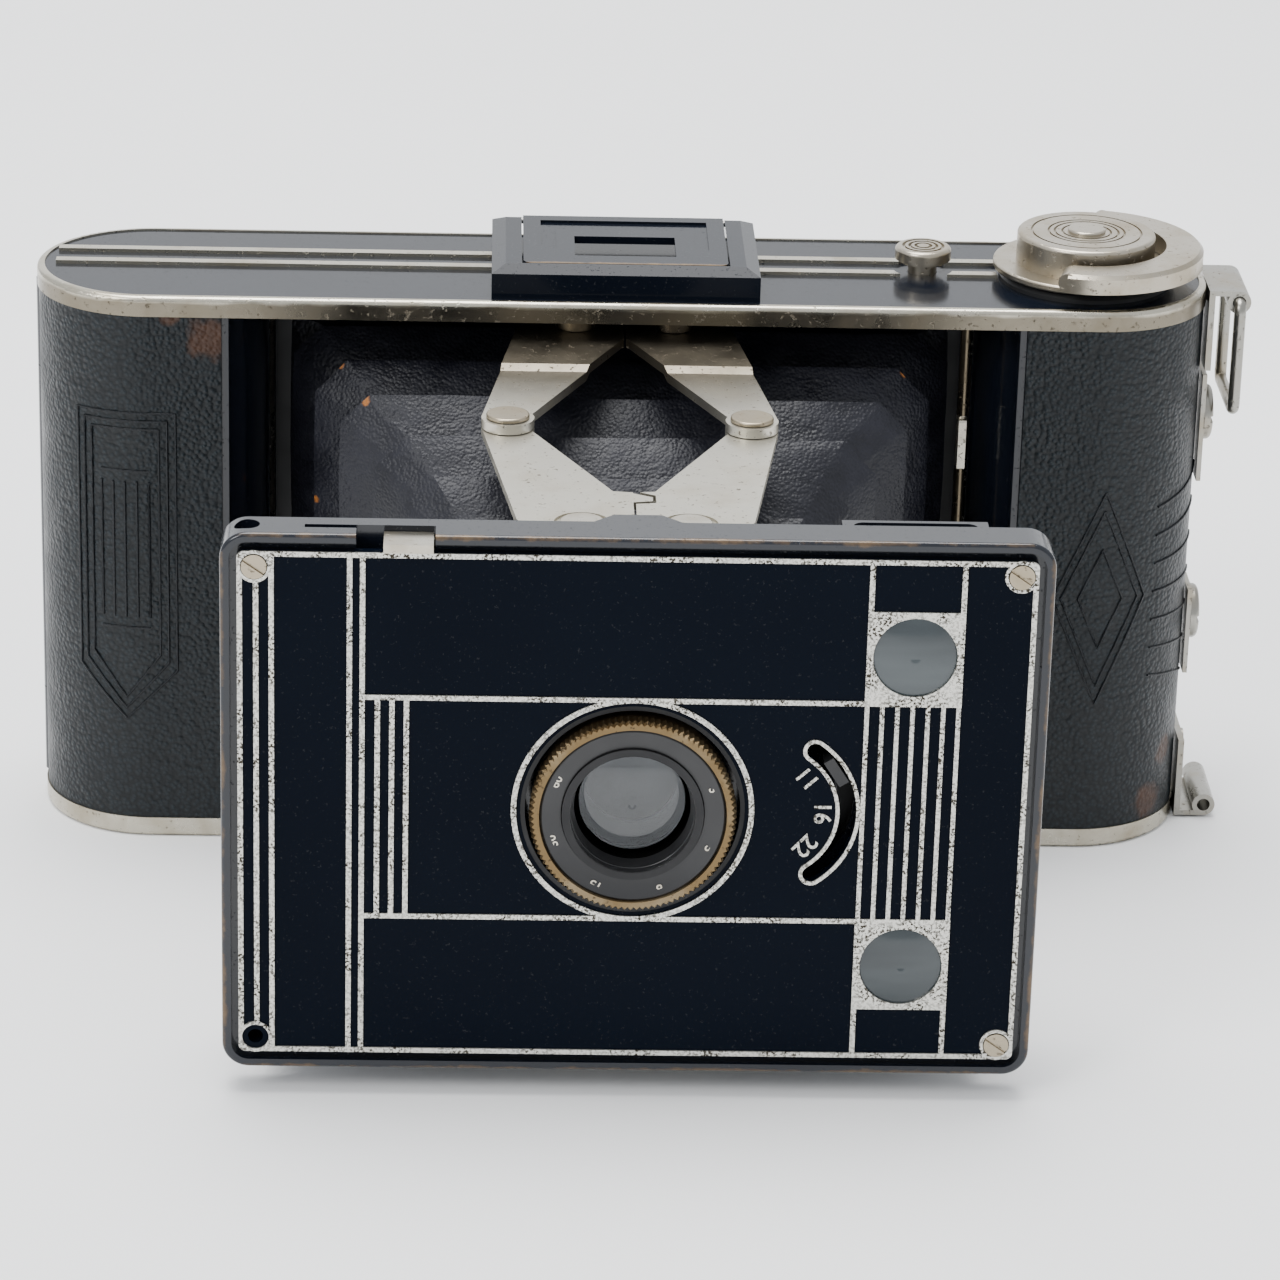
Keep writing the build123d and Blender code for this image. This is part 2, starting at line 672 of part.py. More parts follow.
def aperture_plate():
    """Swinging plate with three stops, and the pointer that comes forward through the arc slot."""
    near_y, far_y = shutter_plate_y - 1.0, shutter_plate_y - 0.4
    arm = 15.8
    stops = (4.7, 3.3, 2.4)
    sketch = Pos(stop_pivot_x, mid_z) * Circle(3.0)

    def at(radius, angle):
        return stop_pivot_x + radius * math.cos(angle), mid_z + radius * math.sin(angle)

    angles = [math.radians(180 + stop_step * i) for i in range(len(stops))]
    for angle in angles:
        sketch += Pos(*at(arm, angle)) * Circle(6.6)
    for angle in angles:
        reach = [at(3, angle + s) for s in (1.4, -1.4)]
        far = [at(arm, angle + s) for s in (-0.38, 0.38)]
        sketch += polygon(*reach, *far)
    for angle, stop in zip(angles, stops):
        sketch -= Pos(*at(arm, angle)) * Circle(stop)
    rest = math.radians(stop_step)
    tip = at(stop_radius, rest)
    dx, dz = -1.5 * math.sin(rest), 1.5 * math.cos(rest)
    sketch += polygon(
        (stop_pivot_x + dx, mid_z + dz), (stop_pivot_x - dx, mid_z - dz),
        (tip[0] - dx, tip[1] - dz), (tip[0] + dx, tip[1] + dz))
    plate = facing(sketch, near_y, far_y)
    pointer = Pos(*tip) * (Rot(0, 0, stop_step) * Rectangle(1.3, 3.6))
    plate += facing(pointer, plate_front_y - 0.3, far_y)
    return plate - boss(stop_pivot_x, mid_z, near_y, far_y, 1.2 + running)


def shutter_disc():
    """Disc with one window that sweeps past the lens."""
    near_y = shutter_plate_y + shutter_plate_sheet + 0.3
    far_y = near_y + 0.5
    disc_window = -disc_centre[0]
    window_angle = math.radians(50)
    centre = (disc_window * (math.cos(window_angle) - 1), mid_z + disc_window * math.sin(window_angle))
    sketch = Pos(*disc_centre) * Circle(disc_window + 7.0)
    sketch -= Pos(*centre) * Circle(5.2)
    sketch -= Pos(*disc_centre) * Circle(1.2 + running)
    return facing(sketch, near_y, far_y)


def release_lever():
    """Shutter lever: an arm behind the plate, and a tab that comes out through the tray's notch."""
    far_y = release_lever_y + release_lever_sheet
    top_z = mid_z + tray_half_height - 0.1
    low_z = mid_z + plate_half_height + 0.45
    x0, x1 = release_tab_x - release_tab_width / 2, release_tab_x + release_tab_width / 2
    px, pz = release_pivot
    foot = [(px - 2.2, pz), (px + 2.2, pz)]
    arm = polygon(*foot, (x1, low_z + 0.6), (x1, top_z - 0.6), (x0, top_z - 0.6), (x0, low_z + 0.6))
    lever = facing(arm + Pos(px, pz) * Circle(2.6), release_lever_y, far_y)
    tab = block(x0, x1, front_y - 1.3, far_y, low_z, top_z - 0.6)
    lever += tab
    return lever - boss(px, pz, release_lever_y, far_y, 1.2 + running)


def finder_objective(z):
    """Round objective glass of one brilliant finder."""
    return domed_glass(finder_x, z, plate_front_y - 0.7, 0.7, plate_back_y + 0.6, finder_radius)


def finder_eye_top():
    """Viewing glass of the upper finder, in the hood."""
    high_z = box_high_z + hood_height - 0.4
    return upright(hood_slot(), high_z - 1.2, high_z)


def finder_eye_side():
    """Viewing glass of the lower finder, in the box's right side."""
    sketch = Plane.YZ.offset(box_half_width - box_wall) * (Pos(-77, mid_z - finder_dz) * Rectangle(6, 10))
    return extrude(sketch, amount=box_wall)


def finder_mirror_top():
    """Wedge that turns the upper finder's view upwards."""
    back = box_back_y - box_wall
    z = mid_z + finder_dz
    wedge = polygon((back, z - 5.5), (back - 9.0, z - 5.5), (back, z + 3.5))
    return extrude(Plane.YZ.offset(finder_x - 5.5) * wedge, amount=11)


def finder_mirror_side():
    """Wedge that turns the lower finder's view to the right."""
    back = box_back_y - box_wall
    z = mid_z - finder_dz
    wedge = polygon((finder_x - 5.5, back), (finder_x - 5.5, back - 9.0), (finder_x + 3.5, back))
    return upright(wedge, z - 5.5, z + 5.5)


# ================================================================ top fittings
def finder_base():
    """Low frame of the folding finder, with bevelled wings either side of the flap."""
    half, front, back = finder_base_half, finder_base_front_y, finder_base_back_y
    low, top = cover_top_z, finder_base_top_z
    body = block(-half, half, front, back, low, top)
    bevel = body.faces().sort_by(Axis.Z)[-1].edges()
    body = chamfer(bevel, 0.9, 1.8)
    pocket_half = flap_half + free
    body -= block(-pocket_half, pocket_half, front + 2.0, back, low + 0.8, top)
    for z, y in ((flap_pin_z, flap_hinge_y), (frame_pin_z, front_frame_hinge_y)):
        body -= Pos(0, y, z) * (Rot(0, 90, 0) * Cylinder(0.4, 2 * (pocket_half + 1.2)))
    return body


flap_pin_z = finder_base_top_z - 0.75
frame_pin_z = finder_base_top_z - 2.5


def hinge_barrel(y, z, half_length, radius):
    """A barrel along X, bored for its pin."""
    barrel = Pos(0, y, z) * (Rot(0, 90, 0) * Cylinder(radius, 2 * half_length))
    return barrel - Pos(0, y, z) * (Rot(0, 90, 0) * Cylinder(0.4 + running, 2 * half_length))


def finder_pin(y, z):
    """Hinge pin of the finder, held in both wings."""
    return Pos(0, y, z) * (Rot(0, 90, 0) * Cylinder(0.4, 2 * (flap_half + free + 1.2)))


def finder_flap():
    """Rear sight of the finder, folded forward over the frame, with a stepped panel and a window."""
    top = finder_base_top_z
    front = finder_base_front_y + 2.0 + free
    outline = Pos(0, (front + flap_hinge_y) / 2) * Rectangle(2 * flap_half, flap_hinge_y - front)
    flap = upright(outline, top - flap_sheet, top)
    flap = fillet(flap.edges().filter_by(Axis.Z).group_by(Axis.Y)[0], 1.2)
    flap -= block(-6.6, 6.6, -7.0, 1.2, top - flap_sheet, top)
    recess = block(-11.0, 11.0, -4.0, 8.0, top - 0.35, top) - block(-9.0, 9.0, -9.0, 4.2, top - 0.35, top)
    flap -= recess
    flap -= Pos(0, flap_hinge_y, flap_pin_z) * (Rot(0, 90, 0) * Cylinder(0.7, 2 * flap_half))
    return flap + hinge_barrel(flap_hinge_y, flap_pin_z, flap_half, 0.72)


def finder_frame():
    """Front frame of the finder, folded back under the flap."""
    y0, y1 = front_frame_hinge_y, front_frame_hinge_y + front_frame_length
    z0, z1 = frame_pin_z - 0.5, frame_pin_z + 0.5
    frame = block(-12.5, 12.5, y0, y1, z0, z1) - block(-10.5, 10.5, y0 + 1.6, y1 - 1.0, z0, z1)
    frame -= Pos(0, y0, frame_pin_z) * (Rot(0, 90, 0) * Cylinder(0.7, 25))
    return frame + hinge_barrel(y0, frame_pin_z, 12.5, 0.72)


def finder_glass():
    """Lens of the front frame."""
    y0, y1 = front_frame_hinge_y, front_frame_hinge_y + front_frame_length
    return block(-10.5, 10.5, y0 + 1.6, y1 - 1.0, frame_pin_z - 0.35, frame_pin_z + 0.35)


def erecting_button():
    """Push button that frees the struts, with rings turned in its head."""
    x, y = button_x, button_y
    head_low, head_high = cover_top_z + 1.9, cover_top_z + 3.6
    head = post(x, y, head_low, head_high, button_radius)
    head = fillet(head.edges().group_by(Axis.Z)[-1], 0.6)
    for radius in (1.0, 1.8, 2.6):
        groove = Circle(radius + 0.2) - Circle(radius - 0.2)
        head -= upright(Pos(x, y) * groove, head_high - 0.3, head_high)
    skirt = post(x, y, cover_top_z + button_travel + 0.2, head_low, 3.1)
    stem = post(x, y, trim_top_z - 0.9, head_low, 1.9)
    collar = post(x, y, trim_top_z - 0.9, trim_top_z - gap, 2.8)
    return head + skirt + stem + collar


def key_escutcheon():
    """Raised ring on the cover under the winding key."""
    ring = post(spool_x, 0, cover_top_z, key_flange_low_z - 0.4, key_escutcheon_radius)
    ring = chamfer(ring.edges().group_by(Axis.Z)[-1], 0.5)
    return ring - post(spool_x, 0, cover_top_z, key_flange_low_z, key_shaft_radius + running)


def winding_key():
    """Winding key: flange, hub with turned rings, and a shaft that drives the take-up spool."""
    key = post(spool_x, 0, key_flange_low_z, key_flange_high_z, key_flange_radius)
    key = fillet(key.edges(), 0.3)
    hub = post(spool_x, 0, key_flange_high_z, key_hub_high_z, key_hub_radius)
    hub = fillet(hub.edges().group_by(Axis.Z)[-1], 0.5)
    for radius, width in ((7.2, 0.3), (5.0, 0.3), (4.2, 0.3), (3.2, 0.3)):
        groove = Circle(radius + width / 2) - Circle(radius - width / 2)
        hub -= upright(Pos(spool_x, 0) * groove, key_hub_high_z - 0.3, key_hub_high_z)
    dome = post(spool_x, 0, key_hub_high_z, key_hub_high_z + 0.5, 2.5)
    key += hub + fillet(dome.edges().group_by(Axis.Z)[-1], 0.3)
    key += post(spool_x, 0, spool_high_z, key_flange_low_z, key_shaft_radius)
    key += post(spool_x, 0, spool_high_z - 5.0, spool_high_z, spool_bore_radius)
    return key - handle_bore(handle_pin_radius + running)


handle_pin_z = key_flange_high_z + 0.1 + handle_sheet / 2


def handle_bore(radius):
    """The bore for the handle's hinge pins, across the hub."""
    turned = Rot(0, 0, handle_turn) * (Rot(90, 0, 0) * Cylinder(radius, 2 * (key_hub_radius + 2.0)))
    return Pos(spool_x, 0, handle_pin_z) * turned


def winding_handle():
    """Half-ring handle, folded flat round the right of the hub, hinged across it."""
    low_z = handle_pin_z - handle_sheet / 2
    ring = Pos(0.6, 0) * Circle(handle_outer) - Circle(handle_inner)
    half = ring & (Pos(handle_outer, 0) * Rectangle(2 * handle_outer, 4 * handle_outer))
    half = half - Circle(key_hub_radius + 0.5)
    solid = upright(half, low_z, low_z + handle_sheet)
    rims = solid.edges().group_by(Axis.Z)[-1].filter_by(GeomType.CIRCLE)
    solid = chamfer(rims.sort_by(SortBy.RADIUS)[-1], 0.5)
    for side in (-1, 1):
        knuckle_middle = (handle_inner + handle_outer) / 2
        turned = Rot(90, 0, 0) * Cylinder(handle_sheet / 2, handle_outer - handle_inner - 0.6)
        solid += Pos(0, side * knuckle_middle, handle_pin_z) * turned
        pin = Rot(90, 0, 0) * Cylinder(handle_pin_radius, 3.0)
        solid += Pos(0, side * (key_hub_radius + 0.4), handle_pin_z) * pin
    return Pos(spool_x, 0, 0) * (Rot(0, 0, handle_turn) * solid)


# ================================================================ door
door_leaf_back_y = hinge_y + hinge_radius + free + 0.6


def door_outline(inset, wall, left_limit):
    """The door's band in plan: round the back, from the hinge to the middle of the right end."""
    band = stadium(inset) - stadium(inset + wall)
    right = Pos(body_length / 2, body_depth / 2 + free) * Rectangle(body_length, body_depth)
    left = Pos(-body_length / 2, body_depth / 2 + left_limit) * Rectangle(body_length, body_depth)
    return band & (right + left)


def back_door():
    """Door of the camera's back, with the middle hinge knuckle and the film-number window's hole."""
    band = door_outline(end_radius - shell_radius, shell_sheet, hinge_y + hinge_radius + free)
    door = upright(band, door_low_z, door_high_z)
    low_z, high_z = hinge_split
    leaf = block(hinge_x - 0.3, hinge_x + 0.5, hinge_y + 0.3, door_leaf_back_y, low_z, high_z)
    leaf -= post(hinge_x, hinge_y, low_z, high_z, hinge_pin_radius + running)
    door += leaf + knuckle(low_z, high_z)
    return door - boss(0, window_z, 0, body_depth, window_radius)


def back_leather():
    """Leather over the door."""
    panel = upright(door_outline(leather_inset, leather_sheet, door_leaf_back_y + 0.1), door_low_z, door_high_z)
    return panel - boss(0, window_z, 0, body_depth, window_radius + 1.8)


def window_ring():
    """Rim of the film-number window."""
    ring = boss(0, window_z, shell_radius, end_radius, window_radius + 1.7)
    return ring - boss(0, window_z, shell_radius, end_radius, window_radius - 0.6)


def window_glass():
    """Red glass of the film-number window."""
    return boss(0, window_z, shell_radius - shell_sheet, shell_radius, window_radius)


plate_gap = 0.8
pressure_sheet = 0.6


def pressure_plate():
    """Sprung plate that holds the film flat against the gate."""
    near_y = gate_back_y + plate_gap
    sketch = Pos(0, mid_z) * RectangleRounded(picture_width + 3, picture_height + 5, 2)
    sketch -= Pos(0, window_z) * Circle(window_radius + 1)
    return facing(sketch, near_y, near_y + pressure_sheet)


def pressure_spring(z):
    """Bowed leaf spring between the door and the pressure plate."""
    near_y = gate_back_y + plate_gap + pressure_sheet
    door_y = shell_radius - shell_sheet
    leaf = 0.3
    half = 24.0
    outer = polygon(
        (-half, near_y), (-half + 6, near_y), (-6, door_y - leaf), (6, door_y - leaf), (half - 6, near_y),
        (half, near_y), (half, near_y + leaf), (half - 6, near_y + leaf), (6, door_y), (-6, door_y),
        (-half + 6, near_y + leaf), (-half, near_y + leaf))
    return upright(outer, z - 4, z + 4)


# ================================================================ end fittings
end_face_x = body_length / 2


def strap_lug():
    """Bracket on the right end, with a rolled eye along Y."""
    x, z = lug_eye_x, lug_eye_z
    base = block(end_face_x, end_face_x + 0.8, lug_front_y, lug_back_y, z - 9.5, z + lug_eye_radius)
    tab = block(end_face_x, x, lug_front_y, lug_back_y, z + lug_eye_radius - 0.7, z + lug_eye_radius)
    eye = Pos(x, z) * Circle(lug_eye_radius)
    lug = base + tab + facing(eye, lug_front_y, lug_back_y)
    lug -= facing(Pos(x, z) * Circle(lug_eye_bore), lug_front_y, lug_back_y)
    for rivet_z in (z - 3.6, z - 7.6):
        head = Pos(end_face_x + 0.8, 1.25, rivet_z) * (Rot(0, 90, 0) * Cylinder(1.3, 1.0))
        lug += head
    return lug


def strap_loop():
    """Wire loop that hangs in the upper lug's eye."""
    x, top = lug_eye_x, lug_eye_z
    overhang = 1.0
    corners = [
        (x, lug_front_y - overhang, top), (x, lug_back_y + overhang, top),
        (x, lug_back_y + overhang, top - loop_drop), (x, lug_front_y - overhang, top - loop_drop)]
    path = Wire([e for e in FilletPolyline(*corners, radius=1.0, close=True).edges()])
    start = path.edges().sort_by(Axis.Z)[-1]
    middle = start.position_at(0.5)
    profile = Plane(origin=middle, z_dir=start.tangent_at(0.5)) * Circle(loop_wire_radius)
    return sweep(profile, path=path)


def handle_plate(low_z, high_z):
    """Nickelled strip of the carrying handle's end, flat on the body's right end."""
    return block(end_face_x, end_face_x + 0.6, -3.4, 3.4, low_z, high_z)


def handle_screw(z):
    """Broad slotted screw of the carrying handle."""
    low_x = end_face_x + 0.6
    head = Pos(low_x + 0.6, 0, z) * (Rot(0, 90, 0) * Cylinder(3.7, 1.2))
    head = fillet(head.edges().group_by(Axis.X)[-1], 0.7)
    return head - block(low_x + 0.8, low_x + 1.3, -4, 4, z - 0.45, z + 0.45)


# ================================================================ the nodes
top_holes = [(spool_x, 0, key_shaft_radius + running), (button_x, button_y, 1.9 + running)]
write("top_cover", cover(top_holes))
write("cover_ribs", *cover_ribs())
write("bottom_cover", flip_z(cover([(0, 0, bush_radius)])))
write("body_trims", rounded_trim(), flip_z(rounded_trim()))
upper_plate = strut_plate() - post(button_x, button_y, trim_top_z, cover_low_z, 1.9 + running)
lower_plate = flip_z(strut_plate()) - post(0, 0, 0, trim_height, bush_radius)
write("strut_plates", upper_plate, lower_plate)
write("latch_rod", latch_rod())
left_housing = spool_housing()
write("spool_housing_right", flip_x(left_housing))
for piece in body_knuckles():
    left_housing += piece
write("spool_housing_left", left_housing)
write("leather_left", leather_panel())
write("leather_right", flip_x(leather_panel()))
write("film_gate", film_gate())
write("film_roller_left", film_roller())
write("film_roller_right", flip_x(film_roller()))
write("take_up_spool", spool(spool_x))
write("supply_spool", spool(-spool_x))
lower_pins = [
    spool_pin(x, body_height - cover_low_z, spool_low_z - gap, spool_low_z + 5) for x in (-spool_x, spool_x)]
write("spool_pins", *lower_pins, flip_z(lower_pins[0]))
write("tripod_bush", tripod_bush())
write("bellows", bellows())
door_pin = post(hinge_x, hinge_y, door_low_z, door_high_z, hinge_pin_radius)
finder_pins = [finder_pin(flap_hinge_y, flap_pin_z), finder_pin(front_frame_hinge_y, frame_pin_z)]
write("hinge_pins", door_pin, *finder_pins)

write("rear_links_left", *pair(rear_link()))
write("rear_links_right", *pair(flip_x(rear_link())))
write("front_links_left", *pair(front_link(True)))
write("front_links_right", *pair(flip_x(front_link(False))))
write("knee_rivets_left", *pair(knee_rivet()))
write("knee_rivets_right", *pair(flip_x(knee_rivet())))
write("body_pivots", *pair(body_pivot()), *pair(flip_x(body_pivot())))
write("standard_pivots", *pair(standard_pivot()), *pair(flip_x(standard_pivot())))

write("front_housing", front_tray())
write("mechanism_box", mechanism_box())
write("face_plate", face_plate())
write("face_lines", face_lines())
write("face_screws", *[face_screw(x, z) for x, z in screw_places()[:3]])
write("lens_mounts", lens_barrel(), rear_mount())
write("lenses", front_lens(), rear_lens())
write("focus_ring", focus_ring())
write("shutter_plate", shutter_plate())
write("shutter_disc", shutter_disc())
write("aperture_plate", aperture_plate())
write("release_lever", release_lever())
write("finder_objectives", finder_objective(mid_z + finder_dz), finder_objective(mid_z - finder_dz))
write("finder_eye_glasses", finder_eye_top(), finder_eye_side())
write("finder_mirrors", finder_mirror_top(), finder_mirror_side())

write("finder_base", finder_base())
write("finder_flap", finder_flap())
write("finder_frame", finder_frame())
write("finder_glass", finder_glass())
write("erecting_button", erecting_button())
write("key_escutcheon", key_escutcheon())
write("winding_key", winding_key())
write("winding_handle", winding_handle())

write("back_door", back_door())
write("back_leather", back_leather())
write("window_ring", window_ring())
write("window_glass", window_glass())
write("pressure_plate", pressure_plate())
write("pressure_springs", pressure_spring(mid_z + 16), pressure_spring(mid_z - 12))

write("strap_lugs", strap_lug(), flip_z(strap_lug()))
write("strap_loop", strap_loop())
write("handle_plates", handle_plate(mid_z + 10.7, mid_z + 25.6), handle_plate(mid_z - 17.0, mid_z - 5.0))
write("handle_screws", handle_screw(mid_z + 19.4), handle_screw(mid_z - 9.2))
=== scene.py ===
"""Looks of a folding strut camera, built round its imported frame.

Metres, +Z up. The lens looks along -Y and +X is to the right of someone who faces it.
The script has four parts: finishes, pieces modelled on the frame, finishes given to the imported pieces,
and the set.
"""
import math
import bmesh
import bpy
from mathutils import Matrix, Vector


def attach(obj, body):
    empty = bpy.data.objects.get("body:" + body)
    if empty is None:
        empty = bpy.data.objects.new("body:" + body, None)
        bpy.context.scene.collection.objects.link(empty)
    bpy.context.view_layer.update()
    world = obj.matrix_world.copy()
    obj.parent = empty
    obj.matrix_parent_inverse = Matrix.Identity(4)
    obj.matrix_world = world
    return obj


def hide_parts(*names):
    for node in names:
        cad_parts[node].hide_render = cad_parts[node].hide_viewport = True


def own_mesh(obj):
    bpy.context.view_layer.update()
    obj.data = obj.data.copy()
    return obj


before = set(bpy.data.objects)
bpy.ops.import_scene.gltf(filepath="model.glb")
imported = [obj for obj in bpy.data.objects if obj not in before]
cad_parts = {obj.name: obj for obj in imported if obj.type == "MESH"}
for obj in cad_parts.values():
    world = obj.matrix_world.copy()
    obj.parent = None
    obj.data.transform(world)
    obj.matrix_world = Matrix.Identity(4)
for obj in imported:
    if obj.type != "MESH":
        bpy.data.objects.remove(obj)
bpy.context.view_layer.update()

# Places and sizes are in millimetres unless a comment says otherwise, and are turned to metres by MM.
MM = 0.001
TAU = 2 * math.pi
MID_Z = 38.0
FACE_Y = -90.0
TRAY_HALF_WIDTH = 48.6
TRAY_HALF_HEIGHT = 34.4


# ================================================================ finishes
class Finish:
    """A procedural material on object coordinates, with short names for the nodes it is built from."""

    def __init__(self, name, roughness=0.4, metallic=0.0, specular=0.5):
        self.material = bpy.data.materials.new(name)
        self.material.use_nodes = True
        self.tree = self.material.node_tree
        self.shader = self.tree.nodes["Principled BSDF"]
        self.shader.inputs["Roughness"].default_value = roughness
        self.shader.inputs["Metallic"].default_value = metallic
        self.shader.inputs["Specular IOR Level"].default_value = specular
        self.coordinates = self.tree.nodes.new("ShaderNodeTexCoord").outputs["Object"]
        self.height = None

    def node(self, kind, **values):
        made = self.tree.nodes.new(kind)
        for key, value in values.items():
            setattr(made, key, value)
        return made

    def feed(self, socket, value):
        if isinstance(value, bpy.types.NodeSocket):
            self.tree.links.new(value, socket)
        else:
            socket.default_value = value

    def set(self, name, value):
        self.feed(self.shader.inputs[name], value)
        return self

    def maths(self, operation, first, second=0.0, clamp=False):
        made = self.node("ShaderNodeMath", operation=operation, use_clamp=clamp)
        self.feed(made.inputs[0], first)
        self.feed(made.inputs[1], second)
        return made.outputs[0]

    def axis(self, letter):
        """The object coordinate along X, Y or Z."""
        made = self.node("ShaderNodeSeparateXYZ")
        self.feed(made.inputs[0], self.coordinates)
        return made.outputs[letter]

    def stretched(self, scale):
        made = self.node("ShaderNodeMapping")
        self.feed(made.inputs["Vector"], self.coordinates)
        made.inputs["Scale"].default_value = scale
        return made.outputs[0]

    def noise(self, scale, detail=3.0, roughness=0.5, vector=None):
        made = self.node("ShaderNodeTexNoise")
        self.feed(made.inputs["Vector"], vector or self.coordinates)
        made.inputs["Scale"].default_value = scale
        made.inputs["Detail"].default_value = detail
        made.inputs["Roughness"].default_value = roughness
        return made.outputs["Fac"]

    def cells(self, scale):
        made = self.node("ShaderNodeTexVoronoi", feature="SMOOTH_F1")
        self.feed(made.inputs["Vector"], self.coordinates)
        made.inputs["Scale"].default_value = scale
        made.inputs["Smoothness"].default_value = 0.45
        return made.outputs["Distance"]

    def ramp(self, value, low, high, first=0.0, last=1.0):
        """Linear change from first to last while value runs from low to high."""
        made = self.node("ShaderNodeMapRange", clamp=True)
        self.feed(made.inputs["Value"], value)
        for key, number in (("From Min", low), ("From Max", high), ("To Min", first), ("To Max", last)):
            made.inputs[key].default_value = number
        return made.outputs["Result"]

    def mix(self, share, first, second):
        made = self.node("ShaderNodeMix", data_type="RGBA")
        self.feed(made.inputs[0], share)
        for socket, colour in ((made.inputs[6], first), (made.inputs[7], second)):
            self.feed(socket, (*colour, 1.0) if isinstance(colour, tuple) else colour)
        return made.outputs[2]

    def near(self, point, reach, ragged=0.5, scale=400.0):
        """1 close to a point given in millimetres, falling raggedly to 0 at the given reach."""
        made = self.node("ShaderNodeVectorMath", operation="DISTANCE")
        self.feed(made.inputs[0], self.coordinates)
        made.inputs[1].default_value = [c * MM for c in point]
        edge = self.maths("MULTIPLY", self.noise(scale, 4.0), ragged * reach * MM)
        distance = self.maths("ADD", made.outputs["Value"], edge)
        return self.ramp(distance, 0.85 * reach * MM, 1.1 * reach * MM, 1.0, 0.0)

    def bump(self, value, depth):
        """Relief of the given depth in millimetres."""
        made = self.node("ShaderNodeBump")
        made.inputs["Strength"].default_value = 1.0
        made.inputs["Distance"].default_value = depth * MM
        self.feed(made.inputs["Height"], value)
        if self.height is not None:
            self.feed(made.inputs["Normal"], self.height)
        self.height = made.outputs["Normal"]
        self.feed(self.shader.inputs["Normal"], self.height)
        return self


def enamel(name, worn=None, specular=0.5, dark=(0.0035, 0.005, 0.009), light=(0.006, 0.008, 0.013)):
    """Glossy black stove enamel, faintly wavy, dusty and scratched. Brass shows where an edge is rubbed."""
    f = Finish(name, specular=specular)
    dust = f.ramp(f.noise(2600, 2.0), 0.66, 0.74)
    cloud = f.noise(35, 4.0)
    scratch = f.ramp(f.noise(900, 2.0, vector=f.stretched((0.05, 1.0, 1.0))), 0.70, 0.78)
    base = f.mix(f.ramp(cloud, 0.3, 0.75), dark, light)
    base = f.mix(f.maths("MULTIPLY", dust, 0.12), base, (0.10, 0.10, 0.10))
    rough = f.ramp(cloud, 0.3, 0.8, 0.09, 0.2)
    rough = f.maths("ADD", rough, f.maths("MULTIPLY", scratch, 0.12))
    if worn:
        rub = worn(f)
        brass = f.mix(f.noise(700, 3.0), (0.30, 0.20, 0.10), (0.10, 0.055, 0.03))
        base = f.mix(rub, base, brass)
        rough = f.maths("ADD", rough, f.maths("MULTIPLY", rub, 0.25))
        f.set("Metallic", f.maths("MULTIPLY", rub, 0.7))
    f.set("Base Color", base).set("Roughness", rough)
    f.bump(cloud, 0.03).bump(dust, 0.02)
    return f.material


def nickel(name, tint=(0.52, 0.49, 0.42), tarnish=0.6, roughness=0.2, pits=0.5, darkening=None):
    """Old nickel plate: warm, with brown tarnish, fine pits and rub marks."""
    f = Finish(name, metallic=1.0)
    cloud = f.noise(130, 5.0, 0.6)
    spots = f.ramp(f.noise(1500, 3.0, 0.6), 0.62, 0.70)
    grain = f.noise(2200, 2.0, vector=f.stretched((0.12, 1.0, 1.0)))
    share = f.maths("MULTIPLY", f.ramp(cloud, 0.48, 0.72), tarnish)
    base = f.mix(share, tint, (0.30, 0.245, 0.16))
    # A darkening mask, where given, turns the nickel dark brown; on the rear links this is painted shade
    # together with some tarnish.
    if darkening:
        base = f.mix(darkening(f), base, (0.115, 0.095, 0.065))
    base = f.mix(f.maths("MULTIPLY", spots, pits), base, (0.06, 0.045, 0.03))
    rough = f.ramp(cloud, 0.3, 0.8, roughness, roughness + 0.2)
    rough = f.maths("ADD", rough, f.maths("MULTIPLY", spots, 0.3))
    f.set("Base Color", base).set("Roughness", rough)
    f.bump(spots, -0.03).bump(grain, 0.006).bump(cloud, 0.02)
    return f.material


def speckled_nickel():
    """The face plate's raised lines: nickel that has flaked to dark specks."""
    f = Finish("speckled_nickel", metallic=0.85)
    flakes = f.ramp(f.noise(2900, 3.0, 0.65), 0.50, 0.57)
    patches = f.ramp(f.noise(380, 4.0), 0.42, 0.66)
    share = f.maths("MULTIPLY", flakes, f.maths("ADD", 0.35, patches), True)
    base = f.mix(share, (0.60, 0.59, 0.54), (0.05, 0.042, 0.03))
    f.set("Base Color", base).set("Roughness", f.ramp(share, 0.0, 1.0, 0.32, 0.7))
    f.bump(share, -0.05)
    return f.material


def leather(name, grain=1650.0, depth=0.15, colour=(0.005, 0.0078, 0.0098), worn=(), creases=True):
    """Black pebbled leather. worn lists (point, reach) in millimetres where its brown hide shows."""
    f = Finish(name, specular=0.26)
    pebble = f.cells(grain)
    wide = f.noise(160, 4.0)
    # Painted highlight and shade on the pebble grain: the tops are coloured lighter and the hollows between
    # them darker.
    top = f.ramp(pebble, 0.15, 0.6)
    base = f.mix(top, tuple(1.7 * c for c in colour), tuple(0.5 * c for c in colour))
    base = f.mix(f.maths("MULTIPLY", f.ramp(wide, 0.5, 0.75), 0.3), base, (0.012, 0.015, 0.018))
    rough = f.ramp(wide, 0.3, 0.7, 0.34, 0.5)
    for point, reach in worn:
        spot = f.near(point, reach, 0.9)
        base = f.mix(spot, base, f.mix(f.noise(900, 3.0), (0.065, 0.03, 0.016), (0.02, 0.01, 0.007)))
    f.set("Base Color", base).set("Roughness", rough)
    f.bump(pebble, -depth)
    if creases:
        f.bump(f.noise(300, 3.0, vector=f.stretched((1.0, 1.0, 4.0))), 0.12)
    f.bump(wide, 0.2)
    return f.material


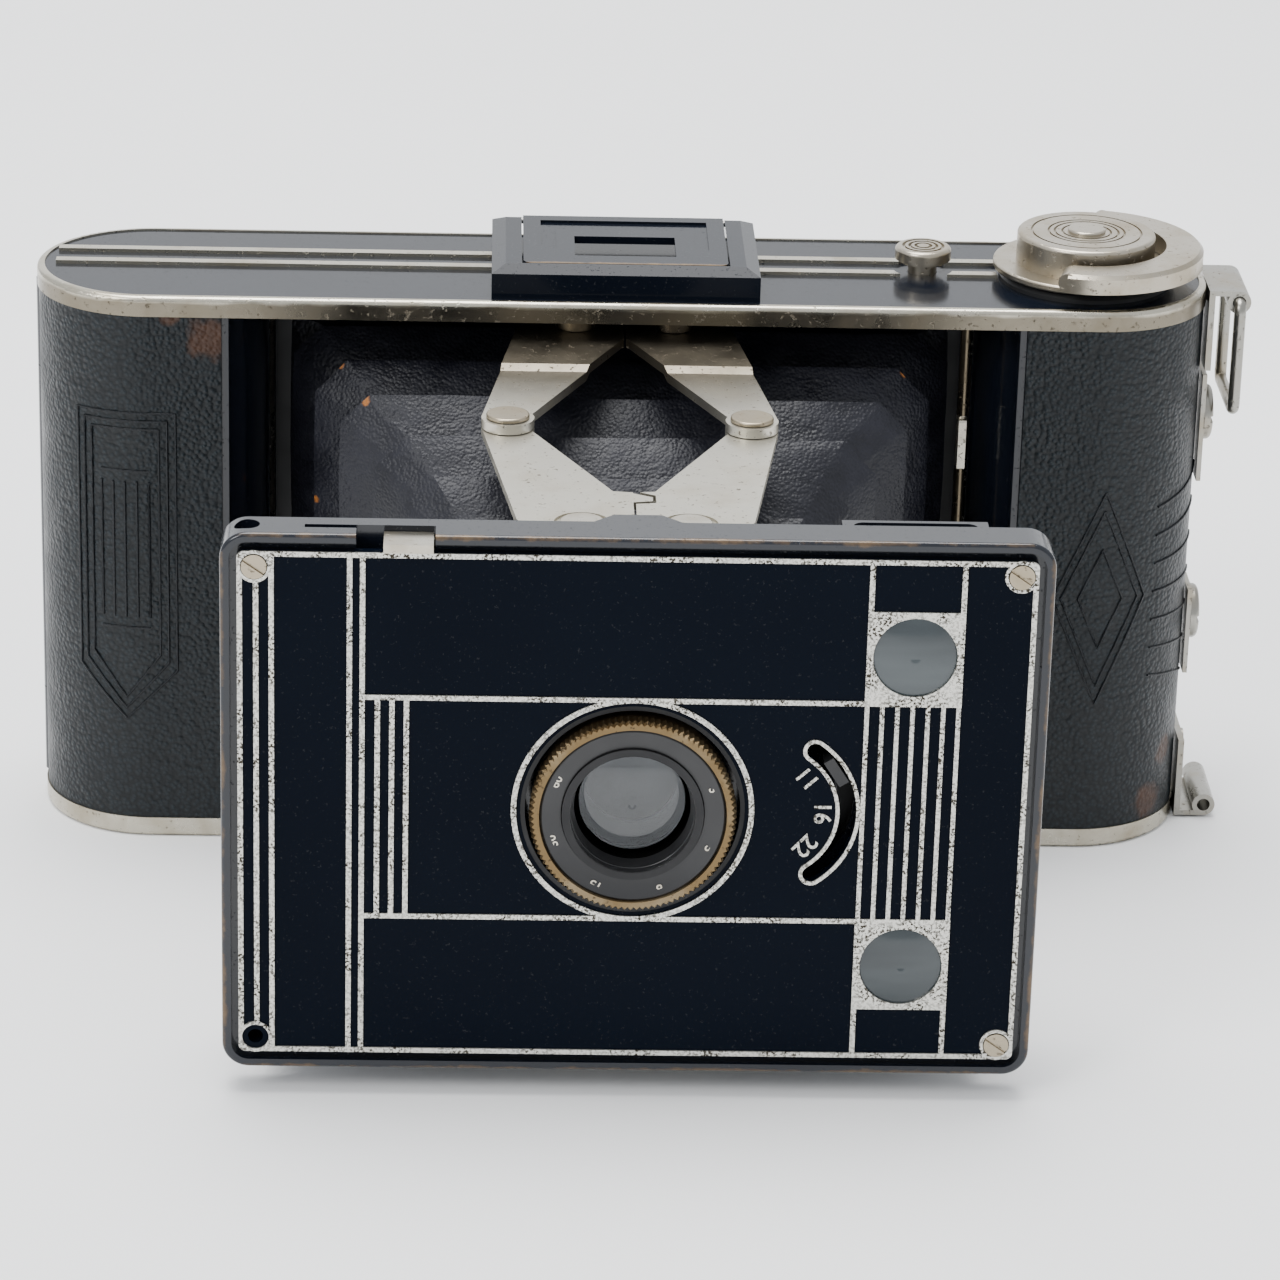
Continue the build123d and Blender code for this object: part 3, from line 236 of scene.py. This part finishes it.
def bellows_skin():
    """Thin goatskin of the bellows: fine grain with a soft shine, rubbed to orange at a few corners."""
    f = Finish("bellows_skin", specular=0.3)
    grain = f.cells(2300)
    wide = f.noise(220, 5.0, 0.6)
    base = f.mix(f.ramp(wide, 0.35, 0.75), (0.0055, 0.0058, 0.0095), (0.013, 0.0135, 0.020))
    rubbed_corners = (
        (-37.2, -6.5, 64.3), (-33.4, -16.8, 62.9), (-40.0, -6.5, 45.5),
        (-38.2, -5.0, 65.5), (37.2, -6.5, 64.3),
    )
    for point in rubbed_corners:
        base = f.mix(f.near(point, 1.2, 1.0, 900), base, (0.28, 0.10, 0.02))
    f.set("Base Color", base).set("Roughness", f.ramp(wide, 0.3, 0.8, 0.36, 0.55))
    f.bump(grain, -0.09).bump(wide, 0.35)
    return f.material


def plain(name, colour, roughness, metallic=0.0, fine=1200.0, depth=0.01, shade=0.6):
    """A quiet finish with a little unevenness in colour, shine and surface."""
    f = Finish(name, metallic=metallic)
    cloud = f.noise(fine / 6, 4.0)
    base = f.mix(f.ramp(cloud, 0.3, 0.75), colour, tuple(shade * c for c in colour))
    rough = f.ramp(cloud, 0.3, 0.8, roughness, min(1.0, roughness + 0.15))
    f.set("Base Color", base).set("Roughness", rough)
    return f.bump(f.noise(fine, 2.0), depth).material


def clear_glass(name, tint, transmission=1.0, roughness=0.02, specular=0.5, ior=1.52):
    """Glass with a faint film on it."""
    f = Finish(name, roughness=roughness, specular=specular)
    film = f.noise(160, 3.0)
    f.set("Base Color", f.mix(f.ramp(film, 0.3, 0.8), tint, tuple(0.8 * c for c in tint)))
    f.set("Transmission Weight", transmission)
    f.set("IOR", ior)
    return f.material


def finder_glass_finish():
    """Cloudy old finder glass with lighter horizontal bands painted in as reflections of the light."""
    f = Finish("cloudy_finder_glass_painted_reflection", roughness=0.12, specular=0.6)
    # Painted reflections: lighter horizontal bands across the glass.
    painted_reflection_bands = f.noise(90, 3.0, vector=f.stretched((0.25, 1.0, 1.6)))
    base = f.mix(f.ramp(painted_reflection_bands, 0.35, 0.65), (0.012, 0.018, 0.021), (0.05, 0.062, 0.066))
    f.set("Base Color", base)
    return f.bump(f.noise(120, 2.0), 0.02).material


def edge_rub(letter, edge, reach):
    """Ragged wear within reach of the plane at edge along one axis, both in millimetres."""

    def worn(f):
        away = f.maths("ABSOLUTE", f.maths("SUBTRACT", f.axis(letter), edge * MM))
        ragged = f.maths("MULTIPLY", f.noise(350.0, 5.0, 0.65), 1.4 * reach * MM)
        return f.ramp(f.maths("ADD", away, ragged), 0.9 * reach * MM, 1.5 * reach * MM, 1.0, 0.0)

    return worn


def housing_rub(f):
    """Wear along the housing's outer rim."""
    from_middle = f.maths("ABSOLUTE", f.maths("SUBTRACT", f.axis("Z"), MID_Z * MM))
    away_x = f.maths("SUBTRACT", TRAY_HALF_WIDTH * MM, f.maths("ABSOLUTE", f.axis("X")))
    away_z = f.maths("SUBTRACT", TRAY_HALF_HEIGHT * MM, from_middle)
    away_y = f.maths("SUBTRACT", f.axis("Y"), FACE_Y * MM)
    edge = f.maths("ADD", f.maths("MINIMUM", away_x, away_z), f.maths("MAXIMUM", away_y, 0.0))
    ragged = f.maths("MULTIPLY", f.noise(260, 5.0, 0.7), 0.0018)
    return f.ramp(f.maths("ADD", edge, ragged), 0.0010, 0.0014, 0.5, 0.0)


def upper_trim_darker_below_edge(f):
    """Darker and browner below the rounded edge of the upper trim."""
    ragged = f.maths("MULTIPLY", f.noise(150, 4.0), 0.0014)
    low = f.ramp(f.maths("ADD", f.axis("Z"), ragged), 0.0757, 0.0762, 0.8, 0.0)
    return f.maths("MULTIPLY", low, f.ramp(f.axis("Z"), 0.070, 0.0705))


def rear_painted_shade_and_tarnish(f):
    """The links are darker and browner towards the body: painted shade from the body above them, with some
    brown tarnish.
    """
    ragged = f.maths("MULTIPLY", f.noise(120, 4.0), 0.005)
    return f.ramp(f.maths("ADD", f.axis("Y"), ragged), -0.040, -0.022, 0.1, 0.9)


def away_from_tab(f):
    """Dark all along the catch's rod but for the flat tab."""
    tab_z, tab_half_height = 55.5, 3.7
    away = f.maths("ABSOLUTE", f.maths("SUBTRACT", f.axis("Z"), tab_z * MM))
    return f.maths("GREATER_THAN", away, tab_half_height * MM)


black_enamel = enamel("black_enamel")
cover_enamel = enamel("cover_enamel", specular=0.2)
plate_enamel = enamel("plate_enamel", None, 0.04, (0.0008, 0.0022, 0.0058), (0.0014, 0.0032, 0.0075))
housing_enamel = enamel("housing_enamel", housing_rub)
flap_enamel = enamel("flap_enamel", edge_rub("Y", -10.4, 0.8), 0.15)
finder_enamel = enamel("finder_enamel", specular=0.15)
warm_nickel = nickel("warm_nickel")
link_nickel = nickel("link_nickel", (0.60, 0.575, 0.50), 0.35, 0.3, 0.8, rear_painted_shade_and_tarnish)
shaded_nickel = nickel("shaded_nickel", (0.10, 0.085, 0.065), 0.8)
key_nickel = nickel("key_nickel", (0.42, 0.38, 0.31), 0.75, 0.24, 0.6)
end_nickel = nickel("end_nickel", (0.30, 0.29, 0.26), 0.7, 0.24, 0.5)
rivet_nickel = nickel("rivet_nickel", (0.36, 0.31, 0.23), 0.8, 0.26, 0.5)
trim_nickel = nickel("trim_nickel", (0.50, 0.47, 0.39), 0.7, 0.2, 0.45, upper_trim_darker_below_edge)
latch_nickel = nickel("latch_nickel", darkening=away_from_tab)
face_nickel = speckled_nickel()
aged_brass = nickel("aged_brass", (0.16, 0.11, 0.055), 0.8, 0.36, 0.8)
left_leather = leather("left_leather", worn=(((-53.5, -15, 70.5), 5.2), ((-59.0, -15, 73.5), 2.5)))
right_leather = leather("right_leather", worn=(((74.5, -8, 12.0), 3.5), ((72.0, -10.5, 5.0), 4.5)))
back_leather = leather("back_leather")
embossed_leather = leather("embossed_leather", 2600.0, 0.05, (0.0045, 0.006, 0.008), creases=False)
goatskin = bellows_skin()
satin_black = plain("satin_black", (0.010, 0.010, 0.011), 0.42)
deep_black = plain("deep_black", (0.004, 0.004, 0.005), 0.6)
ring_black = plain("ring_black", (0.012, 0.012, 0.013), 0.3)
silver_mirror = plain("silver_mirror", (0.8, 0.8, 0.8), 0.05, 1.0)
plain_steel = plain("plain_steel", (0.45, 0.44, 0.42), 0.3, 1.0)
spool_wood = plain("spool_wood", (0.05, 0.035, 0.03), 0.5)
lens_glass = clear_glass("lens_glass", (0.92, 0.96, 1.0))
sight_glass = clear_glass("sight_glass", (0.5, 0.55, 0.55), specular=0.08, ior=1.1)
red_window = clear_glass("red_window", (0.45, 0.02, 0.01), 0.6, 0.15)
cloudy_glass_painted_reflection = finder_glass_finish()
eye_glass = plain("eye_glass", (0.012, 0.014, 0.016), 0.06)


# ================================================================ modelling helpers
def clear_selection():
    for o in bpy.context.selected_objects:
        o.select_set(False)


def begin(shape, **place):
    """Adds a primitive, with its size and place given in millimetres."""
    clear_selection()
    add = getattr(bpy.ops.mesh, "primitive_" + shape + "_add")
    for key in ("radius", "size"):
        if key in place:
            place[key] *= MM
    place["location"] = [c * MM for c in place.get("location", (0, 0, 0))]
    add(**place)
    made = bpy.context.active_object
    bpy.ops.object.transform_apply(location=True, rotation=True, scale=True)
    return made


def make_active(obj):
    clear_selection()
    obj.select_set(True)
    bpy.context.view_layer.objects.active = obj


def edit(obj):
    """Opens a mesh for editing and returns it as a BMesh."""
    make_active(obj)
    bpy.ops.object.mode_set(mode="EDIT")
    bpy.ops.mesh.select_mode(type="VERT")
    return bmesh.from_edit_mesh(obj.data)


def close_edit():
    bpy.ops.object.mode_set(mode="OBJECT")


def modify(obj, kind, **values):
    """Adds a modifier and applies it."""
    make_active(obj)
    made = obj.modifiers.new(kind.lower(), kind)
    for key, value in values.items():
        setattr(made, key, value)
    bpy.ops.object.modifier_apply(modifier=made.name)


def outward(obj):
    """Merges points that lie on each other and turns the faces outward."""
    edit(obj)
    bpy.ops.mesh.select_all(action="SELECT")
    bpy.ops.mesh.remove_doubles(threshold=0.001 * MM)
    bpy.ops.mesh.normals_make_consistent(inside=False)
    close_edit()


def finished(obj, name, body, finish, smooth=35):
    """Names a piece, gives it its finish and lets it ride on its body."""
    make_active(obj)
    bpy.ops.object.transform_apply(location=True, rotation=True, scale=True)
    if smooth:
        bpy.ops.object.shade_smooth_by_angle(angle=math.radians(smooth))
    obj.name = obj.data.name = name
    obj.data.materials.clear()
    obj.data.materials.append(finish)
    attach(obj, body)
    return obj


def turned_profile(points, steps=96):
    """Spins a closed outline of (radius, y) points, in millimetres, about the lens axis."""
    ring = begin("circle", vertices=len(points), radius=1, fill_type="NOTHING", location=(0, 0, MID_Z))
    mesh = edit(ring)
    for v, (radius, y) in zip(mesh.verts, points):
        v.co = Vector((radius, y, MID_Z)) * MM
    bmesh.update_edit_mesh(ring.data)
    bpy.ops.mesh.select_all(action="SELECT")
    bpy.ops.mesh.spin(steps=steps, angle=TAU, center=(0, 0, MID_Z * MM), axis=(0, 1, 0))
    close_edit()
    outward(ring)
    return ring


# ================================================================ bellows
BELLOWS_BACK_Y = 9.2


def pleated_bellows():
    """Tapering bellows of rectangular rings with cut corners: crisp ridges, with deep folds between them."""
    # Each ridge is (y, half width, half height). A ring adds how much its corners are cut.
    ridges = [
        (3.5, 43.2, 27.9), (-6.5, 40.0, 26.5), (-16.8, 36.3, 25.3), (-28.0, 31.7, 23.9),
        (-39.5, 27.8, 22.7), (-50.5, 25.4, 21.8), (-61.0, 23.8, 21.0), (-69.8, 22.9, 20.3),
    ]
    fold_in_x, fold_in_z = 4.4, 4.8
    rings = [(BELLOWS_BACK_Y, 43.8, 27.6, 0.8), (7.0, 41.6, 26.0, 4.5)]
    for i, (y, half_width, half_height) in enumerate(ridges):
        rings.append((y, half_width, half_height, 3.6 + 0.5 * (i % 2)))
        if i < len(ridges) - 1:
            near_y, near_width, near_height = ridges[i + 1]
            fold_y = 0.42 * y + 0.58 * near_y
            rings.append((fold_y, near_width - fold_in_x, near_height - fold_in_z, 1.3 + 0.4 * (i % 3)))
    rings += [(-70.9, 20.6, 18.6, 3.0), (-71.9, 22.4, 19.6, 0.8)]

    def ring_points(y, w, h, cut):
        quarter = [(w, h - cut), (w - cut, h)]
        corners = quarter + [(-x, z) for x, z in reversed(quarter)]
        corners += [(-x, -z) for x, z in corners]
        return [Vector((x, y, MID_Z + z)) * MM for x, z in corners]

    tube = begin("circle", vertices=8, radius=20, fill_type="NOTHING")
    mesh = edit(tube)
    for v, co in zip(mesh.verts, ring_points(*rings[0])):
        v.co = co
    bmesh.update_edit_mesh(tube.data)
    bpy.ops.mesh.select_all(action="SELECT")
    for ring in rings[1:]:
        bpy.ops.mesh.extrude_edges_move(TRANSFORM_OT_translate={"value": (0, -1 * MM, 0)})
        mesh = bmesh.from_edit_mesh(tube.data)
        fresh = sorted((v for v in mesh.verts if v.select), key=lambda v: v.index)
        for v, co in zip(fresh, ring_points(*ring)):
            v.co = co
        bmesh.update_edit_mesh(tube.data)
    bpy.ops.mesh.select_all(action="SELECT")
    bpy.ops.mesh.subdivide(number_cuts=5)
    close_edit()
    rumple = bpy.data.textures.new("rumple", "CLOUDS")
    rumple.noise_scale = 0.007
    modify(tube, "DISPLACE", texture=rumple, texture_coords="LOCAL", strength=0.7 * MM, mid_level=0.5)
    outward(tube)
    modify(tube, "SOLIDIFY", thickness=0.5 * MM, offset=-1.0)
    return tube


bellows = pleated_bellows()
finished(bellows, "pleated_bellows", "camera_body", goatskin, smooth=32)
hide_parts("bellows")
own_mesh(bellows)


# ================================================================ lens
def knurled_rim():
    """Outer ring of the focusing mount, its edge cut with fine notches."""
    notches, notch_depth = 104, 0.34
    back, front = -87.7, -91.9
    bore, neck, rim = 11.0, 12.0, 12.28
    profile = [
        (bore, back), (neck, back), (neck, front + 2.0), (rim, front + 1.7),
        (rim, front + 0.4), (neck, front), (bore + 0.1, front), (bore, front + 0.3),
    ]
    ring = turned_profile(profile, notches * 2)
    mesh = edit(ring)
    for v in mesh.verts:
        x, z = v.co.x / MM, v.co.z / MM - MID_Z
        radius = math.hypot(x, z)
        turn = round(math.atan2(z, x) / TAU * notches * 2)
        if turn % 2 and radius > 11.6 and v.co.y / MM < front + 1.8:
            shrink = 1 - notch_depth / radius
            v.co.x, v.co.z = x * shrink * MM, (MID_Z + z * shrink) * MM
    bmesh.update_edit_mesh(ring.data)
    close_edit()
    return ring


focus_rim = finished(knurled_rim(), "knurled_rim", "focus", aged_brass, smooth=25)
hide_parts("focus_ring")
dish_profile = [(8.5, -91.0), (8.5, -88.2), (10.95, -88.2), (10.95, -91.5), (10.75, -91.62), (9.1, -91.1)]
finished(turned_profile(dish_profile), "dished_ring", "focus", ring_black, smooth=30)
well_profile = [(13.35, -89.0), (12.75, -89.0), (12.75, -89.75), (13.35, -89.75)]
finished(turned_profile(well_profile), "lens_well_ring", "standard", deep_black)
cell_profile = [(7.45, -91.2), (8.35, -91.28), (8.35, -91.05), (7.3, -90.2), (6.9, -88.45), (7.2, -88.45)]
finished(turned_profile(cell_profile), "front_cell_ring", "standard", ring_black, smooth=30)


def raised_number(words, height, place, turn, body, finish, name, lift):
    """A number on the front, with its middle at place and turned anticlockwise by turn degrees."""
    clear_selection()
    bpy.ops.object.text_add(location=(0, 0, 0))
    text = bpy.context.active_object
    text.data.body = words
    text.data.size = height * MM
    text.data.align_x = "CENTER"
    text.data.align_y = "CENTER"
    text.data.extrude = lift * MM
    text.data.offset = 0.012 * height * MM
    text.data.resolution_u = 4
    bpy.ops.object.convert(target="MESH")
    text.matrix_world = (
        Matrix.Translation([c * MM for c in place])
        @ Matrix.Rotation(math.radians(-turn), 4, "Y")
        @ Matrix.Rotation(math.radians(90), 4, "X")
    )
    finished(text, name, body, finish, smooth=0)


STOP_HEIGHT, STOP_Y, STOP_LIFT, SLOT_CENTRE_X = 2.9, -89.82, 0.12, 15.8
for number, x, dz in (("11", 20.4, 4.3), ("16", 22.4, 0.0), ("22", 20.5, -4.3)):
    turn = math.degrees(math.atan2(dz, x - SLOT_CENTRE_X)) - 90
    place = (x, STOP_Y, MID_Z + dz)
    raised_number(number, STOP_HEIGHT, place, turn, "standard", face_nickel, "stop_" + number, STOP_LIFT)

DISTANCE_HEIGHT, DISTANCE_Y, DISTANCE_LIFT, DISTANCE_RADIUS = 1.55, -91.36, 0.05, 10.0
for number, degrees in (("3", 20), ("5", -25), ("8", -70), ("15", -115), ("30", -160), ("60", 155)):
    a = math.radians(degrees)
    place = (DISTANCE_RADIUS * math.cos(a), DISTANCE_Y, MID_Z + DISTANCE_RADIUS * math.sin(a))
    name = "distance_" + number
    raised_number(number, DISTANCE_HEIGHT, place, degrees - 90, "focus", warm_nickel, name, DISTANCE_LIFT)


# ================================================================ embossing on the leather
RECESS_X = 52.2
END_CENTRE_X = 62.0
END_RADIUS = 14.8


def on_leather(along, z, side):
    """Point on the leather, along being the way from the recess round the end. Side is -1 left, +1 right."""
    flat = END_CENTRE_X - RECESS_X
    radius = END_RADIUS + 0.05
    if along <= flat:
        return (side * (RECESS_X + along), -radius, z)
    a = (along - flat) / END_RADIUS
    return (side * (END_CENTRE_X + radius * math.sin(a)), -radius * math.cos(a), z)


def pressed_lines(name, side, lines):
    """Thin rolls of leather along each line of (along, z) points."""
    longest_step = 1.2
    curve = bpy.data.curves.new(name, "CURVE")
    curve.dimensions = "3D"
    curve.bevel_depth = 0.16 * MM
    curve.bevel_resolution = 1
    for line in lines:
        dense = []
        for (a0, z0), (a1, z1) in zip(line, line[1:]):
            steps = max(1, int(math.hypot(a1 - a0, z1 - z0) / longest_step))
            dense += [(a0 + (a1 - a0) * i / steps, z0 + (z1 - z0) * i / steps) for i in range(steps)]
        dense.append(line[-1])
        spline = curve.splines.new("POLY")
        spline.points.add(len(dense) - 1)
        for p, (along, z) in zip(spline.points, dense):
            p.co = (*[c * MM for c in on_leather(along, z, side)], 1)
    obj = bpy.data.objects.new(name, curve)
    bpy.context.scene.collection.objects.link(obj)
    make_active(obj)
    curve.use_fill_caps = True
    bpy.ops.object.convert(target="MESH")
    finished(bpy.context.active_object, name, "camera_body", embossed_leather, smooth=60)


def panel_outline(inset):
    """Upright panel with a pointed lower end, set in from the outermost one."""
    left, right = 6.0 + inset, 19.5 - inset
    low, high, tip = 24.0 + inset, 60.0 - inset, 17.0 + 1.4 * inset
    return [(left, high), (right, high), (right, low), ((left + right) / 2, tip), (left, low), (left, high)]


left_lines = [panel_outline(i) for i in (0.0, 1.1, 2.2)]
left_lines += [[(9.5, z), (16.0, z)] for z in (30.0, 52.0)]
left_lines += [[(9.5 + 1.6 * i, 31.5), (9.5 + 1.6 * i, 50.5)] for i in range(5)]
pressed_lines("left_pressed_lines", -1, left_lines)


DIAMOND_ALONG, DIAMOND_Z = 11.5, 36.0


def diamond(half_width, half_height):
    middle, z = DIAMOND_ALONG, DIAMOND_Z
    top = (middle, z + half_height)
    return [top, (middle + half_width, z), (middle, z - half_height), (middle - half_width, z), top]


right_lines = [diamond(6.4, 15.0), diamond(5.3, 12.4), diamond(3.0, 7.0)]
for z in (24, 28, 32, 36, 40, 44, 48):
    away = z - DIAMOND_Z
    right_lines.append([(19.5, z), (25.5, z + 0.1 * away), (31.5, z + 0.25 * away)])
pressed_lines("right_pressed_lines", 1, right_lines)


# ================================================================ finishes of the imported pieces
finishes = {
    plate_enamel: ["face_plate"],
    cover_enamel: ["top_cover", "bottom_cover"],
    black_enamel: ["spool_housing_left", "spool_housing_right", "back_door", "mechanism_box"],
    housing_enamel: ["front_housing"],
    flap_enamel: ["finder_flap"],
    finder_enamel: ["finder_base"],
    trim_nickel: ["body_trims", "cover_ribs"],
    key_nickel: ["winding_key", "winding_handle", "erecting_button"],
    end_nickel: ["strap_lugs", "strap_loop", "handle_plates", "handle_screws"],
    link_nickel: ["front_links_left", "front_links_right", "rear_links_left", "rear_links_right"],
    rivet_nickel: ["knee_rivets_left", "knee_rivets_right", "face_screws"],
    warm_nickel: [
        "standard_pivots", "release_lever", "window_ring", "spool_pins", "tripod_bush",
        "film_roller_left", "film_roller_right",
    ],
    latch_nickel: ["latch_rod"],
    shaded_nickel: ["body_pivots"],
    face_nickel: ["face_lines"],
    left_leather: ["leather_left"],
    right_leather: ["leather_right"],
    back_leather: ["back_leather"],
    satin_black: [
        "aperture_plate", "strut_plates", "film_gate", "shutter_plate", "pressure_plate", "key_escutcheon",
        "finder_frame", "shutter_disc",
    ],
    deep_black: ["lens_mounts"],
    lens_glass: ["lenses"],
    sight_glass: ["finder_glass"],
    red_window: ["window_glass"],
    cloudy_glass_painted_reflection: ["finder_objectives"],
    eye_glass: ["finder_eye_glasses"],
    silver_mirror: ["finder_mirrors"],
    plain_steel: ["hinge_pins", "pressure_springs"],
    spool_wood: ["take_up_spool", "supply_spool"],
}
for finish, nodes in finishes.items():
    for node in nodes:
        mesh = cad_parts[node].data
        mesh.materials.clear()
        mesh.materials.append(finish)


# ================================================================ the set
SENSOR_WIDTH = 36.0


def camera_like(position, azimuth, elevation, roll, lens):
    """A camera at a position in millimetres. It looks along an azimuth from +Y and an elevation, in degrees."""
    az, el, ro = (math.radians(v) for v in (azimuth, elevation, roll))
    forward = Vector((math.sin(az) * math.cos(el), math.cos(az) * math.cos(el), math.sin(el)))
    right = forward.cross(Vector((0, 0, 1))).normalized()
    up = right.cross(forward)
    across = right * math.cos(ro) + up * math.sin(ro)
    over = up * math.cos(ro) - right * math.sin(ro)
    data = bpy.data.cameras.new("view")
    data.sensor_width = SENSOR_WIDTH
    data.lens = lens
    data.clip_start, data.clip_end = 0.01, 20.0
    obj = bpy.data.objects.new("view", data)
    bpy.context.scene.collection.objects.link(obj)
    turned = Matrix((across, over, -forward)).transposed().to_4x4()
    obj.matrix_world = Matrix.Translation(Vector(position) * MM) @ turned
    bpy.context.scene.camera = obj


def soft_light(name, position, target, size, power):
    """A rectangular light. Its place, target and size are in metres and its power in watts."""
    data = bpy.data.lights.new(name, "AREA")
    data.shape = "RECTANGLE"
    data.size, data.size_y = size
    data.energy = power
    obj = bpy.data.objects.new(name, data)
    bpy.context.scene.collection.objects.link(obj)
    obj.location = position
    obj.rotation_euler = (Vector(target) - Vector(position)).to_track_quat("-Z", "Y").to_euler()


camera_like((-18.765, -642.428, 283.978), azimuth=1.98, elevation=-22.076, roll=1.544, lens=143.893490625)

floor = begin("plane", size=6000)
floor.name = "floor"
floor.data.materials.append(plain("pale_floor", (0.93, 0.93, 0.93), 0.8, fine=60.0, depth=0.0, shade=0.97))

world = bpy.data.worlds.new("studio")
bpy.context.scene.world = world
world.use_nodes = True
sky = world.node_tree.nodes["Background"].inputs
sky["Color"].default_value = (0.93, 0.96, 1.0, 1.0)
sky["Strength"].default_value = 1.1
soft_light("overhead", (-0.1, 0.1, 1.2), (0, 0, 0.04), (0.9, 0.7), 23.0)
soft_light("backdrop", (0.0, 1.5, 0.62), (0, 0, 0.06), (2.4, 1.1), 6.0)
soft_light("left_front", (-0.8, -0.9, 0.9), (0, -0.03, 0.04), (0.5, 0.5), 9.0)
